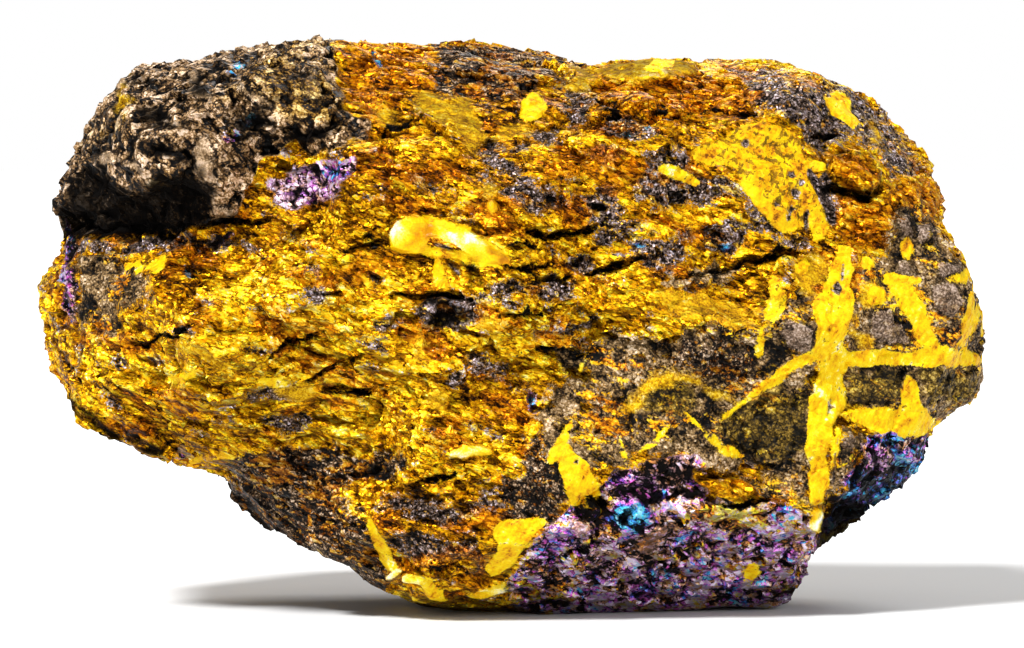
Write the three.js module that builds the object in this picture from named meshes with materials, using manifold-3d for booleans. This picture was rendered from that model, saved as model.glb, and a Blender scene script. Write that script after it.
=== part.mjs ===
// A hand-sized lump of massive chalcopyrite ore, broken from the vein and standing on one flat foot.
// Millimetres, +Z up, the showy broken face towards -Y. It is one solid piece of rock.
import * as THREE from "three";
import { ImprovedNoise } from "three/addons/math/ImprovedNoise.js";
import { mergeVertices } from "three/addons/utils/BufferGeometryUtils.js";
import Module from "manifold-3d";

// Driving dimensions.
const width = 110; // along X, between the two most distant corners
// Each side's depth is from the widest section, at Y = 0, to the broken face or to the back.
const front = { sign: -1, depth: 24, relief: frontRelief() };
const back = { sign: 1, depth: 25, relief: backRelief() };
const fullness = 2.9; // 2 is an ellipsoid, and higher numbers are boxier
const detail = 19; // rows of triangles along each side of the starting icosahedron, less one
const flatness = 2.2; // how much wider than deep the lump is, which turns the roughness to face outwards
const rimCalm = 0.2; // the share of the roughness that is left at the outline
const heart = new THREE.Vector2(0, 31.5); // X and Z of the middle of the widest section
const oreColour = "#9a6a14";

// The widest section, as X and Z, anticlockwise seen from the front and starting at the right.
const rightSide = [
  [55, 30.1], [54.8, 34], [53.9, 37.5], [51.4, 40.6], [49.8, 44], [49.9, 47.6], [49.1, 51.5],
  [46, 55.2], [41.9, 59], [38.3, 61.4],
];
const topEdge = [
  [34.2, 62.4], [29.5, 62.9], [22.5, 63.1], [18.4, 63.9], [13.2, 63.6], [8.6, 63.3], [3.9, 64.6],
  [-1.3, 65], [-7.7, 65], [-14.7, 65.2], [-19.4, 65.6], [-24, 65.8], [-28.7, 65.6], [-33.3, 65],
  [-36.3, 64.4], [-37.9, 63.3], [-40.3, 64.1], [-43.4, 63.3],
];
const leftSide = [
  [-46, 61], [-46.8, 59.5], [-48.1, 58.6], [-48.4, 56.3], [-49.9, 54], [-51.3, 51.7], [-52.5, 48.8],
  [-53.1, 46.2], [-51.4, 42.8], [-53.4, 39.9], [-54.4, 37.7], [-53.7, 34], [-53.8, 29.6], [-52.7, 26.8],
  [-50.3, 25], [-47.5, 22.9], [-44.3, 20.6], [-38.3, 17.6],
];
// The underside runs a little below the ground, where the foot is cut flat.
const underside = [
  [-33.2, 16.4], [-32, 13.8], [-30, 11.9], [-26.8, 9.9], [-23.8, 8.1], [-19.2, 5.7], [-14.5, 3],
  [-11.6, 0.7], [-8.5, -0.5], [-3, -1], [4, -1.4], [10.3, -1.6], [15.5, -1.1], [19, 0.2],
  [24, 0.9], [29.5, 0.4], [33, 2], [34.4, 5.2], [36.6, 7.3], [39.6, 9.4], [42.3, 12.4], [44.9, 14.2],
  [47.7, 18.2], [50, 22], [53.3, 23.8], [55.3, 26.2],
];

// Swells and hollows, centred at X and Z: reach is the half width and half height before the turn in degrees.
function frontRelief() {
  return [
    { name: "dark boulder", at: [-40, 55], reach: [14, 9], turn: 10, rise: 5.5 },
    { name: "hollow under the boulder", at: [-41, 43.5], reach: [14, 3.2], turn: 0, rise: -5.5 },
    { name: "cleft beside the boulder", at: [-21, 53], reach: [9, 2.8], turn: 28, rise: -3 },
    { name: "left swell", at: [-32, 32], reach: [17, 10], turn: 12, rise: 3.5 },
    { name: "middle swell", at: [-2, 40], reach: [20, 8], turn: 8, rise: 2 },
    { name: "dark pit", at: [-9, 34], reach: [4, 2.6], turn: 20, rise: -2 },
    { name: "lower left retreat", at: [-24, 14], reach: [12, 8], turn: -25, rise: -3.5 },
    { name: "lower middle swell", at: [-6, 14], reach: [10, 6], turn: 10, rise: 1.8 },
    { name: "tarnished lip", at: [22, 8.5], reach: [15, 6.5], turn: 0, rise: 4 },
    { name: "groove above the lip", at: [20, 16.5], reach: [15, 2.2], turn: 3, rise: -1.8 },
    { name: "notch beside the lip", at: [41, 11.5], reach: [7, 4], turn: 32, rise: -5 },
    { name: "corner block", at: [48, 24], reach: [9, 5], turn: 0, rise: 2.5 },
    { name: "nodule", at: [40, 51], reach: [4.5, 3.2], turn: -10, rise: 2 },
    { name: "top retreat", at: [10, 60], reach: [16, 4], turn: 0, rise: -2.5 },
  ];
}

function backRelief() {
  return [
    { name: "back swell", at: [-22, 38], reach: [20, 14], turn: 15, rise: 3 },
    { name: "back trough", at: [8, 30], reach: [5, 26], turn: -20, rise: -3.5 },
    { name: "back shoulder", at: [32, 44], reach: [13, 10], turn: -30, rise: 2.5 },
    { name: "back heel", at: [12, 8], reach: [22, 7], turn: 0, rise: 2.5 },
  ];
}

// Flat breaks: which way each one faces, and how far it lies from the heart.
const breaks = [
  { name: "back face", facing: [0.06, 1, 0.04], distance: 24.2 },
  { name: "upper back", facing: [-0.28, 0.72, 0.62], distance: 30.5 },
  { name: "right back", facing: [0.76, 0.62, 0.12], distance: 45 },
  { name: "left back", facing: [-0.78, 0.58, -0.1], distance: 45.5 },
  { name: "lower back", facing: [-0.15, 0.66, -0.72], distance: 30.5 },
  { name: "right front", facing: [0.5, -0.85, 0.1], distance: 40 },
  { name: "front of the foot", facing: [0.15, -0.62, -0.78], distance: 32.4 },
];

// The broken surface: scoops leave sharp ridges between them, and cobbles leave creases.
const scoops = { size: 15, tilt: 0.34, bend: 0.5, sign: -1 };
const cobbles = { size: 9, tilt: 0.3, bend: 0.45, sign: 1 };
const swells = { size: 21, rise: 1.5 };
const noise = new ImprovedNoise();

// How far the outline lies from the heart at an angle, from points along a smooth closed curve.
function outlineReader() {
  const corners = [...rightSide, ...topEdge, ...leftSide, ...underside];
  const bends = corners.map(([x, z]) => new THREE.Vector3(x, 0, z));
  const curve = new THREE.CatmullRomCurve3(bends, true, "centripetal");
  const ring = curve.getPoints(1200).slice(0, -1).map((p) => {
    const x = p.x - heart.x;
    const z = p.z - heart.y;
    return { angle: Math.atan2(z, x), radius: Math.hypot(x, z) };
  });
  ring.sort((a, b) => a.angle - b.angle);
  const turn = 2 * Math.PI;
  const first = ring[0];
  const last = ring[ring.length - 1];
  const closed = [{ ...last, angle: last.angle - turn }, ...ring, { ...first, angle: first.angle + turn }];
  return (angle) => {
    const after = closed.findIndex((p) => p.angle > angle);
    const a = closed[after - 1];
    const b = closed[after];
    return THREE.MathUtils.mapLinear(angle, a.angle, b.angle, a.radius, b.radius);
  };
}

// The same outline with its small corners averaged away, for the middle of each face.
function softened(outline, spread = 0.5, steps = 12) {
  return (angle) => {
    let sum = 0;
    for (let i = -steps; i <= steps; i += 1) {
      const at = angle + (spread * i) / steps;
      sum += outline(Math.atan2(Math.sin(at), Math.cos(at)));
    }
    return sum / (2 * steps + 1);
  };
}

// The height of a list of swells at X and Z.
function reliefAt(relief, x, z) {
  const centre = new THREE.Vector2();
  let height = 0;
  for (const { at, reach, turn, rise } of relief) {
    const away = new THREE.Vector2(x - at[0], z - at[1]);
    away.rotateAround(centre, -THREE.MathUtils.degToRad(turn));
    height += rise * Math.exp(-((away.x / reach[0]) ** 2) - (away.y / reach[1]) ** 2);
  }
  return height;
}

// A number from 0 to 1 that looks random but is always the same for the same cell.
function scatter(i, j, k, channel) {
  const wave = 43758.5453 * Math.sin(12.9898 * i + 78.233 * j + 37.719 * k + 4.581 * channel);
  return wave - Math.floor(wave);
}

// One tilted, slightly curved plane for each cell of a jittered grid: the highest or the lowest plane shows.
function facetsAt(p, { size, tilt, bend, sign }) {
  const cell = p.clone().divideScalar(size).floor();
  const away = new THREE.Vector3();
  const slope = new THREE.Vector3();
  let best = -Infinity;
  for (let i = cell.x - 1; i <= cell.x + 1; i += 1) {
    for (let j = cell.y - 1; j <= cell.y + 1; j += 1) {
      for (let k = cell.z - 1; k <= cell.z + 1; k += 1) {
        const draw = [0, 1, 2, 3, 4, 5].map((channel) => scatter(i, j, k, channel));
        away.set(i + draw[0], j + draw[1], k + draw[2]).multiplyScalar(size).sub(p);
        slope.set(draw[3] - 0.5, draw[4] - 0.5, draw[5] - 0.5).multiplyScalar(2 * tilt);
        best = Math.max(best, slope.dot(away) - (bend * away.lengthSq()) / size);
      }
    }
  }
  return sign * best;
}

function roughnessAt(p) {
  const { size, rise } = swells;
  const swell = rise * noise.noise(p.x / size, p.y / size + 7.3, p.z / size);
  return swell + facetsAt(p, scoops) + facetsAt(p, cobbles);
}

// A sphere's points are moved out to the outline and the two faces, then swollen and roughened.
// share is how far a point lies towards the outline, and face is how far towards the front or the back.
function lumpGeometry() {
  const outline = outlineReader();
  const soft = softened(outline);
  const geometry = new THREE.IcosahedronGeometry(1, detail);
  const place = geometry.getAttribute("position");
  const p = new THREE.Vector3();
  for (let i = 0; i < place.count; i += 1) {
    p.fromBufferAttribute(place, i);
    const across = Math.hypot(p.x, p.z);
    const along = Math.abs(p.y);
    const size = (across ** fullness + along ** fullness) ** (1 / fullness);
    const share = across / size;
    const face = along / size;
    const angle = Math.atan2(p.z, p.x);
    const radius = THREE.MathUtils.lerp(soft(angle), outline(angle), share ** 6);
    const x = heart.x + radius * share * Math.cos(angle);
    const z = heart.y + radius * share * Math.sin(angle);
    const side = p.y < 0 ? front : back;
    const relief = reliefAt(side.relief, x, z) * THREE.MathUtils.smoothstep(face, 0.2, 0.85);
    const y = side.sign * (side.depth * face + relief);
    const outwards = new THREE.Vector3(x - heart.x, flatness * y, z - heart.y).normalize();
    const rough = roughnessAt(new THREE.Vector3(x, y, z)) * THREE.MathUtils.lerp(rimCalm, 1, face);
    p.set(x, y, z).addScaledVector(outwards, rough);
    place.setXYZ(i, p.x, p.y, p.z);
  }
  geometry.deleteAttribute("normal");
  geometry.deleteAttribute("uv");
  return mergeVertices(geometry, 1e-4);
}

const wasm = await Module();
wasm.setup();

function solidOf(geometry) {
  const bare = geometry.clone();
  bare.deleteAttribute("normal");
  bare.deleteAttribute("uv");
  const merged = mergeVertices(bare, 1e-4);
  return new wasm.Manifold(
    new wasm.Mesh({
      numProp: 3,
      vertProperties: merged.getAttribute("position").array,
      triVerts: new Uint32Array(merged.index.array),
    }),
  );
}

// A block that takes away everything further out than a flat break.
function breakBlock(facing, distance) {
  const block = new THREE.BoxGeometry(3 * width, 3 * width, width);
  const out = new THREE.Vector3(...facing).normalize();
  const turn = new THREE.Quaternion().setFromUnitVectors(new THREE.Vector3(0, 0, 1), out);
  const middle = new THREE.Vector3(heart.x, 0, heart.y).addScaledVector(out, distance + width / 2);
  block.applyQuaternion(turn).translate(middle.x, middle.y, middle.z);
  return solidOf(block);
}

// The block under the ground that cuts the foot flat at Z = 0.
function groundBlock() {
  return solidOf(new THREE.BoxGeometry(3 * width, 3 * width, width).translate(0, 0, -width / 2));
}

function geometryOf(solid) {
  const { vertProperties, triVerts, numProp } = solid.getMesh();
  const bare = new THREE.BufferGeometry();
  const buffer = new THREE.InterleavedBuffer(vertProperties, numProp);
  bare.setAttribute("position", new THREE.InterleavedBufferAttribute(buffer, 3, 0));
  bare.setIndex(new THREE.BufferAttribute(triVerts, 1));
  return bare.toNonIndexed();
}

function makeLump() {
  let solid = solidOf(lumpGeometry());
  for (const { facing, distance } of breaks) solid = solid.subtract(breakBlock(facing, distance));
  solid = solid.subtract(groundBlock());
  const geometry = geometryOf(solid);
  // The origin is the middle of the bounding box's bottom, and the width is exact.
  geometry.computeBoundingBox();
  const { min, max } = geometry.boundingBox;
  geometry.translate(-(min.x + max.x) / 2, -(min.y + max.y) / 2, 0);
  const scale = width / (max.x - min.x);
  geometry.scale(scale, scale, scale);
  geometry.computeVertexNormals();
  const finish = new THREE.MeshStandardMaterial({ color: oreColour, roughness: 0.45, metalness: 0.4 });
  finish.flatShading = true;
  const lump = new THREE.Mesh(geometry, finish);
  lump.name = "chalcopyrite_lump";
  return lump;
}

const specimen = new THREE.Group();
specimen.add(makeLump());

export default specimen;
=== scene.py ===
import math
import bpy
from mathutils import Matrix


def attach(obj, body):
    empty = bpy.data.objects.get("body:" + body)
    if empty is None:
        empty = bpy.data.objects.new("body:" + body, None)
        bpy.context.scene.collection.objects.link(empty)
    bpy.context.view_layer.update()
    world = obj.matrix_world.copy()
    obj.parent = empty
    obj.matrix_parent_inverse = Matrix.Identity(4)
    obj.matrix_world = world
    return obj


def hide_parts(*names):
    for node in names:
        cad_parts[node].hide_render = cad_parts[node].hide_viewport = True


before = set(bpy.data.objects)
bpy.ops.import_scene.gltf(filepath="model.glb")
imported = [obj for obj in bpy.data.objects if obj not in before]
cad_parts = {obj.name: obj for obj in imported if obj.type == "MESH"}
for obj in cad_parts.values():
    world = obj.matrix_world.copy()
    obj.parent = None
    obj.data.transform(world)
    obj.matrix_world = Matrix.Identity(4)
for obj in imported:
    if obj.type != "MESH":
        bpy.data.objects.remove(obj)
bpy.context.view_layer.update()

from types import SimpleNamespace

import bpy
import numpy as np
from mathutils import Vector, noise

mm = 0.001
lumpName = "chalcopyrite_lump"


# the studio: a long lens just above level, a pale floor, and soft light from above
studio = {
    "lens": 200,              # mm
    "distance": 662,          # mm, from the middle of the rock to the lens
    "elevation": 2.5,         # degrees above level
    "aim": (-0.15, 0, 33),    # mm, the place that the lens is turned to
    "board": (0.06, 33.2),    # mm, the middle of the board that patches are drawn on, as the lens sees it
    "floorSize": 6,           # m
    "floorTone": 0.85,
    "wallLight": 0.28,        # how much light the walls give
    "lights": {               # degrees right of the lens, degrees up, strength, degrees wide
        "keyLight": (-35, 50, 4.4, 12),
        "fillLight": (50, 25, 0.7, 40),
        "backLight": (165, 45, 1.3, 30),
    },
}


def placeCamera():
    cameraData = bpy.data.cameras.new("camera")
    cameraData.lens = studio["lens"]
    camera = bpy.data.objects.new("camera", cameraData)
    bpy.context.scene.collection.objects.link(camera)
    lift = math.radians(studio["elevation"])
    back = Vector((0, -math.cos(lift), math.sin(lift)))
    camera.location = (Vector(studio["aim"]) + back * studio["distance"]) * mm
    camera.rotation_euler = (math.pi / 2 - lift, 0, 0)
    cameraData.clip_start = 0.01
    cameraData.clip_end = 20
    bpy.context.scene.camera = camera
    return camera


def addSun(name, azimuth, height, strength, width):  # shines from azimuth degrees right of the lens
    sunData = bpy.data.lights.new(name, "SUN")
    sunData.energy = strength
    sunData.angle = math.radians(width)
    sun = bpy.data.objects.new(name, sunData)
    bpy.context.scene.collection.objects.link(sun)
    sun.rotation_euler = (math.radians(90 - height), 0, math.radians(azimuth))


# small helpers for node trees, for shape and for colour alike
bench = SimpleNamespace(tree=None)  # holds the tree being built


def put(kind, inputs=None, **settings):  # one node
    node = bench.tree.nodes.new(kind)
    for name, value in settings.items():
        setattr(node, name, value)
    for name, value in (inputs or {}).items():
        if isinstance(name, int):
            socket = node.inputs[name]
        else:
            socket = next(s for s in node.inputs if s.name == name and s.enabled)
        if isinstance(value, bpy.types.NodeSocket):
            bench.tree.links.new(value, socket)
        else:
            socket.default_value = value
    return node


def calc(operation, *values):  # one Math node
    return put("ShaderNodeMath", dict(enumerate(values)), operation=operation).outputs[0]


def calcVector(operation, *values, result="Vector"):  # one Vector Math node
    return put("ShaderNodeVectorMath", dict(enumerate(values)), operation=operation).outputs[result]


def times(value, amount):
    return calc("MULTIPLY", value, amount)


def scaled(vector, amount):
    return put("ShaderNodeVectorMath", {0: vector, "Scale": amount}, operation="SCALE").outputs["Vector"]


def partOf(vector, axis):
    return put("ShaderNodeSeparateXYZ", {"Vector": vector}).outputs[axis]


def ease(value, low, high, start=0.0, end=1.0):  # a soft step from one value to another
    settings = {"Value": value, "From Min": low, "From Max": high, "To Min": start, "To Max": end}
    return put("ShaderNodeMapRange", settings, interpolation_type="SMOOTHSTEP").outputs["Result"]


def blended(below, above, how):  # one number over another
    return put("ShaderNodeMix", {"Factor": how, "A": below, "B": above}).outputs["Result"]


def turnedTo(below, above, how):  # one vector over another
    return put("ShaderNodeMix", {"Factor": how, "A": below, "B": above}, data_type="VECTOR").outputs[1]


def laid(below, above, how):  # one colour over another
    return put("ShaderNodeMix", {"Factor": how, "A": below, "B": above}, data_type="RGBA").outputs[2]


def total(*parts):  # a sum of (value, weight)
    result = times(*parts[0])
    for value, weight in parts[1:]:
        result = calc("MULTIPLY_ADD", value, weight, result)
    return result


def readField(name):  # a number kept on the rock's points
    if bench.tree.type == "GEOMETRY":
        field = put("GeometryNodeInputNamedAttribute", {"Name": name}, data_type="FLOAT")
        return field.outputs["Attribute"]
    return put("ShaderNodeAttribute", attribute_name=name).outputs["Fac"]


def swell(place, size, shift=0, detail=3, roughness=0.5, ridged=False):  # noise from about -0.5 to 0.5
    moved = calcVector("ADD", place, (shift, -0.6 * shift, 0.3 * shift))
    settings = {"Vector": moved, "Scale": 1 / size, "Detail": detail, "Roughness": roughness}
    level = calc("SUBTRACT", put("ShaderNodeTexNoise", settings).outputs[0], 0.5)
    if not ridged:
        return level
    return calc("SUBTRACT", 0.1, calc("ABSOLUTE", level))


def alongGrain(place, stretch, angle=None):  # turned about Y and drawn out along the grain
    settings = {"Vector": place, "Angle": math.radians(rock["grain"] if angle is None else angle)}
    turned = put("ShaderNodeVectorRotate", settings, rotation_type="Y_AXIS").outputs["Vector"]
    return calcVector("MULTIPLY", turned, (1 / stretch, 1, 1))


def chips(place, size, shift):  # broken cells: flat chips, each with a tilt, a tone and a pick of its own
    moved = calcVector("ADD", place, (shift, 0.7 * shift, -0.4 * shift))
    cells = put("ShaderNodeTexVoronoi", {"Vector": moved, "Scale": 1 / size})
    away = calcVector("SUBTRACT", moved, cells.outputs["Position"])
    slope = calcVector("SUBTRACT", cells.outputs["Color"], (0.5, 0.5, 0.5))
    lift = calcVector("DOT_PRODUCT", away, slope, result="Value")
    shade = put("ShaderNodeSeparateXYZ", {"Vector": cells.outputs["Color"]}).outputs
    return {"lift": lift, "slope": slope, "tone": shade["X"], "pick": shade["Y"],
            "rim": cells.outputs["Distance"]}


def buildStudio():
    camera = placeCamera()
    for name, settings in studio["lights"].items():
        addSun(name, *settings)
    bpy.ops.mesh.primitive_plane_add(size=studio["floorSize"])
    floor = bpy.context.object
    floor.name = "floor"
    material = bpy.data.materials.new("paleFloor")
    material.use_nodes = True
    shader = material.node_tree.nodes["Principled BSDF"]
    shader.inputs["Base Color"].default_value = [studio["floorTone"]] * 3 + [1]
    shader.inputs["Roughness"].default_value = 0.9
    floor.data.materials.append(material)
    world = bpy.data.worlds.new("studioWalls")
    world.use_nodes = True
    bench.tree = world.node_tree
    walls = bench.tree.nodes["Background"]
    walls.inputs["Color"].default_value = (1, 1, 1, 1)
    inView = put("ShaderNodeLightPath").outputs["Is Camera Ray"]  # white to look at, dimmer as light
    strength = put("ShaderNodeMapRange", {"Value": inView, "To Min": studio["wallLight"], "To Max": 1})
    bench.tree.links.new(strength.outputs["Result"], walls.inputs["Strength"])
    bpy.context.scene.world = world
    bpy.context.scene.view_settings.view_transform = "Standard"
    print("studio ready")
    return camera


camera = buildStudio()


# patches of mineral are drawn in mm, as seen from in front of the rock:
# each gives how deep inside it a place lies, and below nought how far outside
def blob(x, z, wide, high, turn=0):  # an oval: half width and half height before the turn in degrees
    c, s = math.cos(math.radians(turn)), math.sin(math.radians(turn))

    def inside(place):
        away = place - (x, z)
        along = away @ (c, s)
        across = away @ (-s, c)
        return (1 - np.hypot(along / wide, across / high)) * min(wide, high)
    return inside


def offLine(place, start, end):  # how far along a line each place lies, from 0 to 1, and how far off it
    run = np.subtract(end, start)
    away = place - start
    share = np.clip(away @ run / (run @ run), 0, 1)
    return share, np.linalg.norm(away - share[:, None] * run, axis=1)


def strip(*stations):  # a band through stations of (x, z, half width)
    def inside(place):
        best = np.full(len(place), -np.inf)
        for (x0, z0, w0), (x1, z1, w1) in zip(stations, stations[1:]):
            share, away = offLine(place, (x0, z0), (x1, z1))
            best = np.maximum(best, w0 + (w1 - w0) * share - away)
        return best
    return inside


def shape(*corners):  # an area inside straight sides
    def inside(place):
        near = np.full(len(place), np.inf)
        within = np.zeros(len(place), bool)
        for (x0, z0), (x1, z1) in zip(corners, corners[1:] + corners[:1]):
            near = np.minimum(near, offLine(place, (x0, z0), (x1, z1))[1])
            if z0 != z1:
                crosses = (z0 > place[:, 1]) != (z1 > place[:, 1])
                within ^= crosses & (place[:, 0] < x0 + (place[:, 1] - z0) * (x1 - x0) / (z1 - z0))
        return np.where(within, near, -near)
    return inside


veinPatches = [  # yellow and matte
    # the speckled patch at the upper right
    shape((20.6, 53), (22, 54.3), (24.4, 54.9), (26.7, 56.4), (29.3, 56.8), (33.1, 55.7), (33.9, 54.5),
          (33.5, 53), (34.6, 52.3), (36.2, 52.3), (36.5, 51.1), (35.4, 51.1), (34.6, 50.4), (36.5, 46.6),
          (36.9, 45.8), (36.5, 43.5), (35.4, 42.8), (34.6, 44.3), (33.5, 44.3), (31.6, 43.7), (30.1, 45),
          (28.2, 47.3), (27, 48.8), (26.3, 50.4), (26.3, 51.5), (24.4, 51.3), (22.9, 51.5), (21.3, 52.3)),
    strip((17.8, 51.2, 0.4), (20.2, 50.4, 0.6), (21.3, 49.5, 0.5)),
    # the upright vein
    shape((38.1, 42.5), (39.6, 42.3), (39.6, 33.2), (38.7, 31), (38.9, 28.2), (38.8, 24), (37.4, 21.4),
          (36.8, 18.7), (36.7, 14.9), (36.4, 12.4), (34.9, 12.4), (34.8, 17.2), (34.3, 18.7),
          (34.4, 23.3), (35.2, 25.2), (35.8, 27.5), (35.4, 29.7), (35.5, 32.6), (34.9, 34.2), (35, 35.8),
          (36, 36.8), (36.8, 38.6), (37.3, 40.6)),
    strip((38, 21, 0.35), (37.7, 18.5, 0.5), (37.4, 16.2, 0.25)),
    strip((38, 16.4, 0.3), (39.8, 17.8, 0.35)),
    # the level branch to the right, and what runs into it
    shape((38.6, 28.4), (38.4, 29.8), (40.4, 30.3), (45.7, 29.9), (48, 30.3), (51, 30.6), (54.6, 29.7),
          (54.6, 28.6), (49.5, 28.3), (41.9, 28.2)),
    strip((44.9, 37.8, 1), (47.2, 34.4, 1.3), (47.8, 32.4, 1), (49.1, 30.1, 0.9)),
    strip((43.9, 38.5, 0.5), (47, 38.1, 0.6)),
    strip((53.9, 36.6, 0.6), (53.3, 33.5, 0.9), (52.4, 30.9, 0.4)),
    # the lower branch with its wedge
    shape((38.8, 22.9), (40.7, 23.5), (44.9, 23.3), (45.3, 25.6), (45.9, 27.7), (47, 26.7), (47.6, 24.8),
          (48.3, 23.3), (49.5, 22.1), (51.8, 22.8), (50.6, 21.4), (48.7, 20.6), (46.4, 19.9),
          (43.8, 20.6), (41.1, 21), (39.6, 21.8)),
    # rounded grains around the upright vein
    blob(45.9, 41.9, 0.8, 1.1), blob(41.3, 40.3, 1.4, 0.9, -15), blob(42.6, 36.6, 1, 1.2),
    blob(52.3, 38.6, 1.1, 0.7, 10), blob(33.9, 39.9, 0.8, 0.8),
    strip((30.6, 38.5, 0.6), (31.1, 36.4, 0.9), (30.3, 33.6, 0.8)),
    strip((29.3, 32.6, 0.6), (28.8, 29.8, 0.4)),
    # thin runners to the left of the upright vein
    strip((35.8, 30, 0.7), (33.4, 28.6, 0.55), (28.9, 25.7, 0.35), (25.5, 23, 0.25), (23.2, 21.1, 0.1)),
    strip((20.2, 22.9, 0.2), (22.5, 20.5, 0.5), (24.6, 18.7, 0.6), (26.9, 17.6, 0.25)),
    strip((18.4, 21.4, 0.2), (16.6, 19.5, 0.4), (15, 17.8, 0.35)),
    strip((12.6, 19.5, 0.2), (13.3, 17.7, 0.35)),
    # the arrow
    shape((7.1, 22.4), (6.6, 19.4), (8, 17.8), (9.5, 16.1), (10.4, 13.2), (9.2, 11.9), (7.4, 12),
          (6.3, 13.6), (6, 16), (5.4, 17.5), (4.3, 16.8), (4.2, 18.3), (5.6, 20.4)),
    # the slanting band beside the tarnished lip
    shape((3.9, 10.4), (2.3, 8.1), (0.8, 5.8), (-1.3, 4), (-2.5, 3.5), (-2.9, 5), (-1.8, 6.9),
          (-2.5, 8.8), (-1, 10.4), (1.6, 10.4)),
    # low on the left slope, and the lump at its foot
    strip((-16.6, 10.4, 0.5), (-15.1, 7.5, 0.7), (-13.9, 4.9, 0.5)),
    strip((-11, 3.7, 0.3), (-9.7, 3, 0.7), (-8.8, 1.6, 0.8), (-7.9, 0.8, 0.3)),
    # round the white lens: the bridge between its lumps, the band below and the short root
    strip((-11, 45.3, 0.6), (-8.6, 44.6, 1.1), (-6.6, 44.2, 0.7), (-5, 44.4, 0.3)),
    strip((-10.4, 42, 0.6), (-7.8, 41.3, 0.8), (-5.2, 41, 0.6), (-2.8, 40.1, 0.5), (-0.8, 39.5, 0.25)),
    strip((-8.7, 40.6, 0.6), (-8.3, 39, 0.75), (-8.1, 37.8, 0.7)),
    # matte scraps in the ore on the left
    strip((-44.6, 39.9, 0.5), (-43.6, 39.8, 0.4)),
    strip((-42.4, 39.8, 0.4), (-41.6, 39.7, 0.6), (-40.4, 40.6, 0.45)),
    strip((-39.4, 26.9, 0.4), (-37.2, 27.2, 0.6)),
    strip((-31, 26.7, 0.2), (-27.5, 26.4, 0.45), (-24.6, 26.3, 0.2)),
    # the speck in the tarnished lip
    blob(27.9, 4.4, 1.1, 0.9, 20),
    # the cap on the top edge
    shape((15.2, 62.5), (15.5, 64.6), (18.8, 65), (18.7, 62.8)),
    # the fibrous grains at the upper right and above the middle
    shape((36.6, 59.8), (38.2, 60.4), (39.7, 58.6), (40.6, 56.6), (39.8, 55.4), (38.3, 56.8), (37, 57.6)),
    shape((0.9, 57.4), (1.2, 59), (2.6, 60.4), (3.6, 59.8), (4.2, 58.4), (3.2, 57), (2, 56.8)),
]

quartzPatches = [  # white and smooth
    # the two lumps of the white lens above the middle
    shape((-14.2, 43.9), (-13.5, 45), (-12.3, 45.9), (-10.6, 45.8), (-9.6, 45), (-9.4, 43.4), (-9.8, 42),
          (-11, 41.3), (-12.8, 41.3), (-14.1, 42)),
    shape((-7.7, 43.2), (-6.4, 44), (-4.9, 44.2), (-3.6, 43.3), (-2.4, 42.4), (-1, 41.9), (0, 41.4),
          (0, 40.3), (-1.6, 40), (-3.2, 40.1), (-4.4, 40.9), (-5.9, 41.8)),
    strip((-10.4, 44.2, 0.9), (-8.6, 44, 0.7), (-6.8, 43.2, 0.6)),
    strip((15.2, 62.1, 0.3), (17.8, 62.4, 0.35)), blob(-2.2, 47, 0.6, 0.8, 15),
    strip((-7, 18.2, 0.4), (-5, 18.5, 0.65), (-2.6, 18.3, 0.35)), blob(8.3, 28.4, 0.35, 0.8, -20),
    # along the foot
    strip((-12.3, 3.6, 0.5), (-10.7, 3.4, 0.5)), strip((-14.2, 3.6, 0.4), (-13.2, 4.4, 0.3)),
    strip((-11.6, 1.3, 0.4), (-10.2, 0.6, 0.4)),
    strip((-5, 1.2, 0.3), (-3.2, 1.7, 0.55), (-1, 2.5, 0.45)),
    strip((-35.4, 17.5, 0.25), (-33.6, 17.8, 0.4), (-32, 17.5, 0.15)),
    strip((35.6, 11.3, 0.6), (35.4, 9.7, 0.75)),
]

sparPatches = [  # pale yellow and half clear
    shape((-11.6, 59.5), (-8.6, 59.9), (-4.8, 58.3), (-3.3, 56.1), (-3.7, 54.5), (-4.8, 53), (-5.9, 54.9),
          (-7.1, 56.4), (-9, 56.8), (-10.5, 58)),
    blob(-2.5, 48.6, 0.7, 0.9), shape((33.2, 40.8), (36.4, 41.4), (36.8, 38), (35, 36.4), (33.2, 38)),
    blob(8, 61.4, 1.2, 0.9, 20), strip((-1, 55.6, 0.4), (1.6, 56, 0.5)), blob(42.4, 55.6, 0.7, 1.4, 25),
    shape((9.6, 62.3), (12.5, 63.6), (14.3, 64), (20.4, 64.4), (22, 63.4), (18.6, 62.3), (15.5, 62),
          (12, 61.7)),
    strip((39.6, 33.8, 0.4), (41, 31.2, 0.7)),
    shape((40.4, 38), (42.6, 38.4), (43.6, 36.4), (42, 35.2), (40.6, 36)), blob(20.5, 35.4, 3.4, 1.2, -8),
    blob(26.2, 34.2, 2.4, 0.8, -20), blob(-10.5, 30.2, 0.7, 1.5, 20),
    strip((13.4, 23.8, 0.3), (16.6, 26.4, 0.7), (20.6, 26.9, 0.6), (23, 25.6, 0.4), (25.6, 24.2, 0.15)),
    strip((29.5, 15.6, 0.1), (31.6, 14.2, 0.3), (33.8, 12.4, 0.25)), blob(-45.6, 59.2, 0.6, 1.3, 10),
    blob(-14.6, 57.4, 1, 0.8), blob(-24.8, 25.4, 1.8, 1),
    strip((-38.6, 30.6, 0.4), (-36, 29.8, 0.7), (-33.4, 28.2, 0.5)), blob(-8.3, 24.6, 1.2, 1),
    blob(-3, 33, 1.6, 0.8),
]

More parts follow.
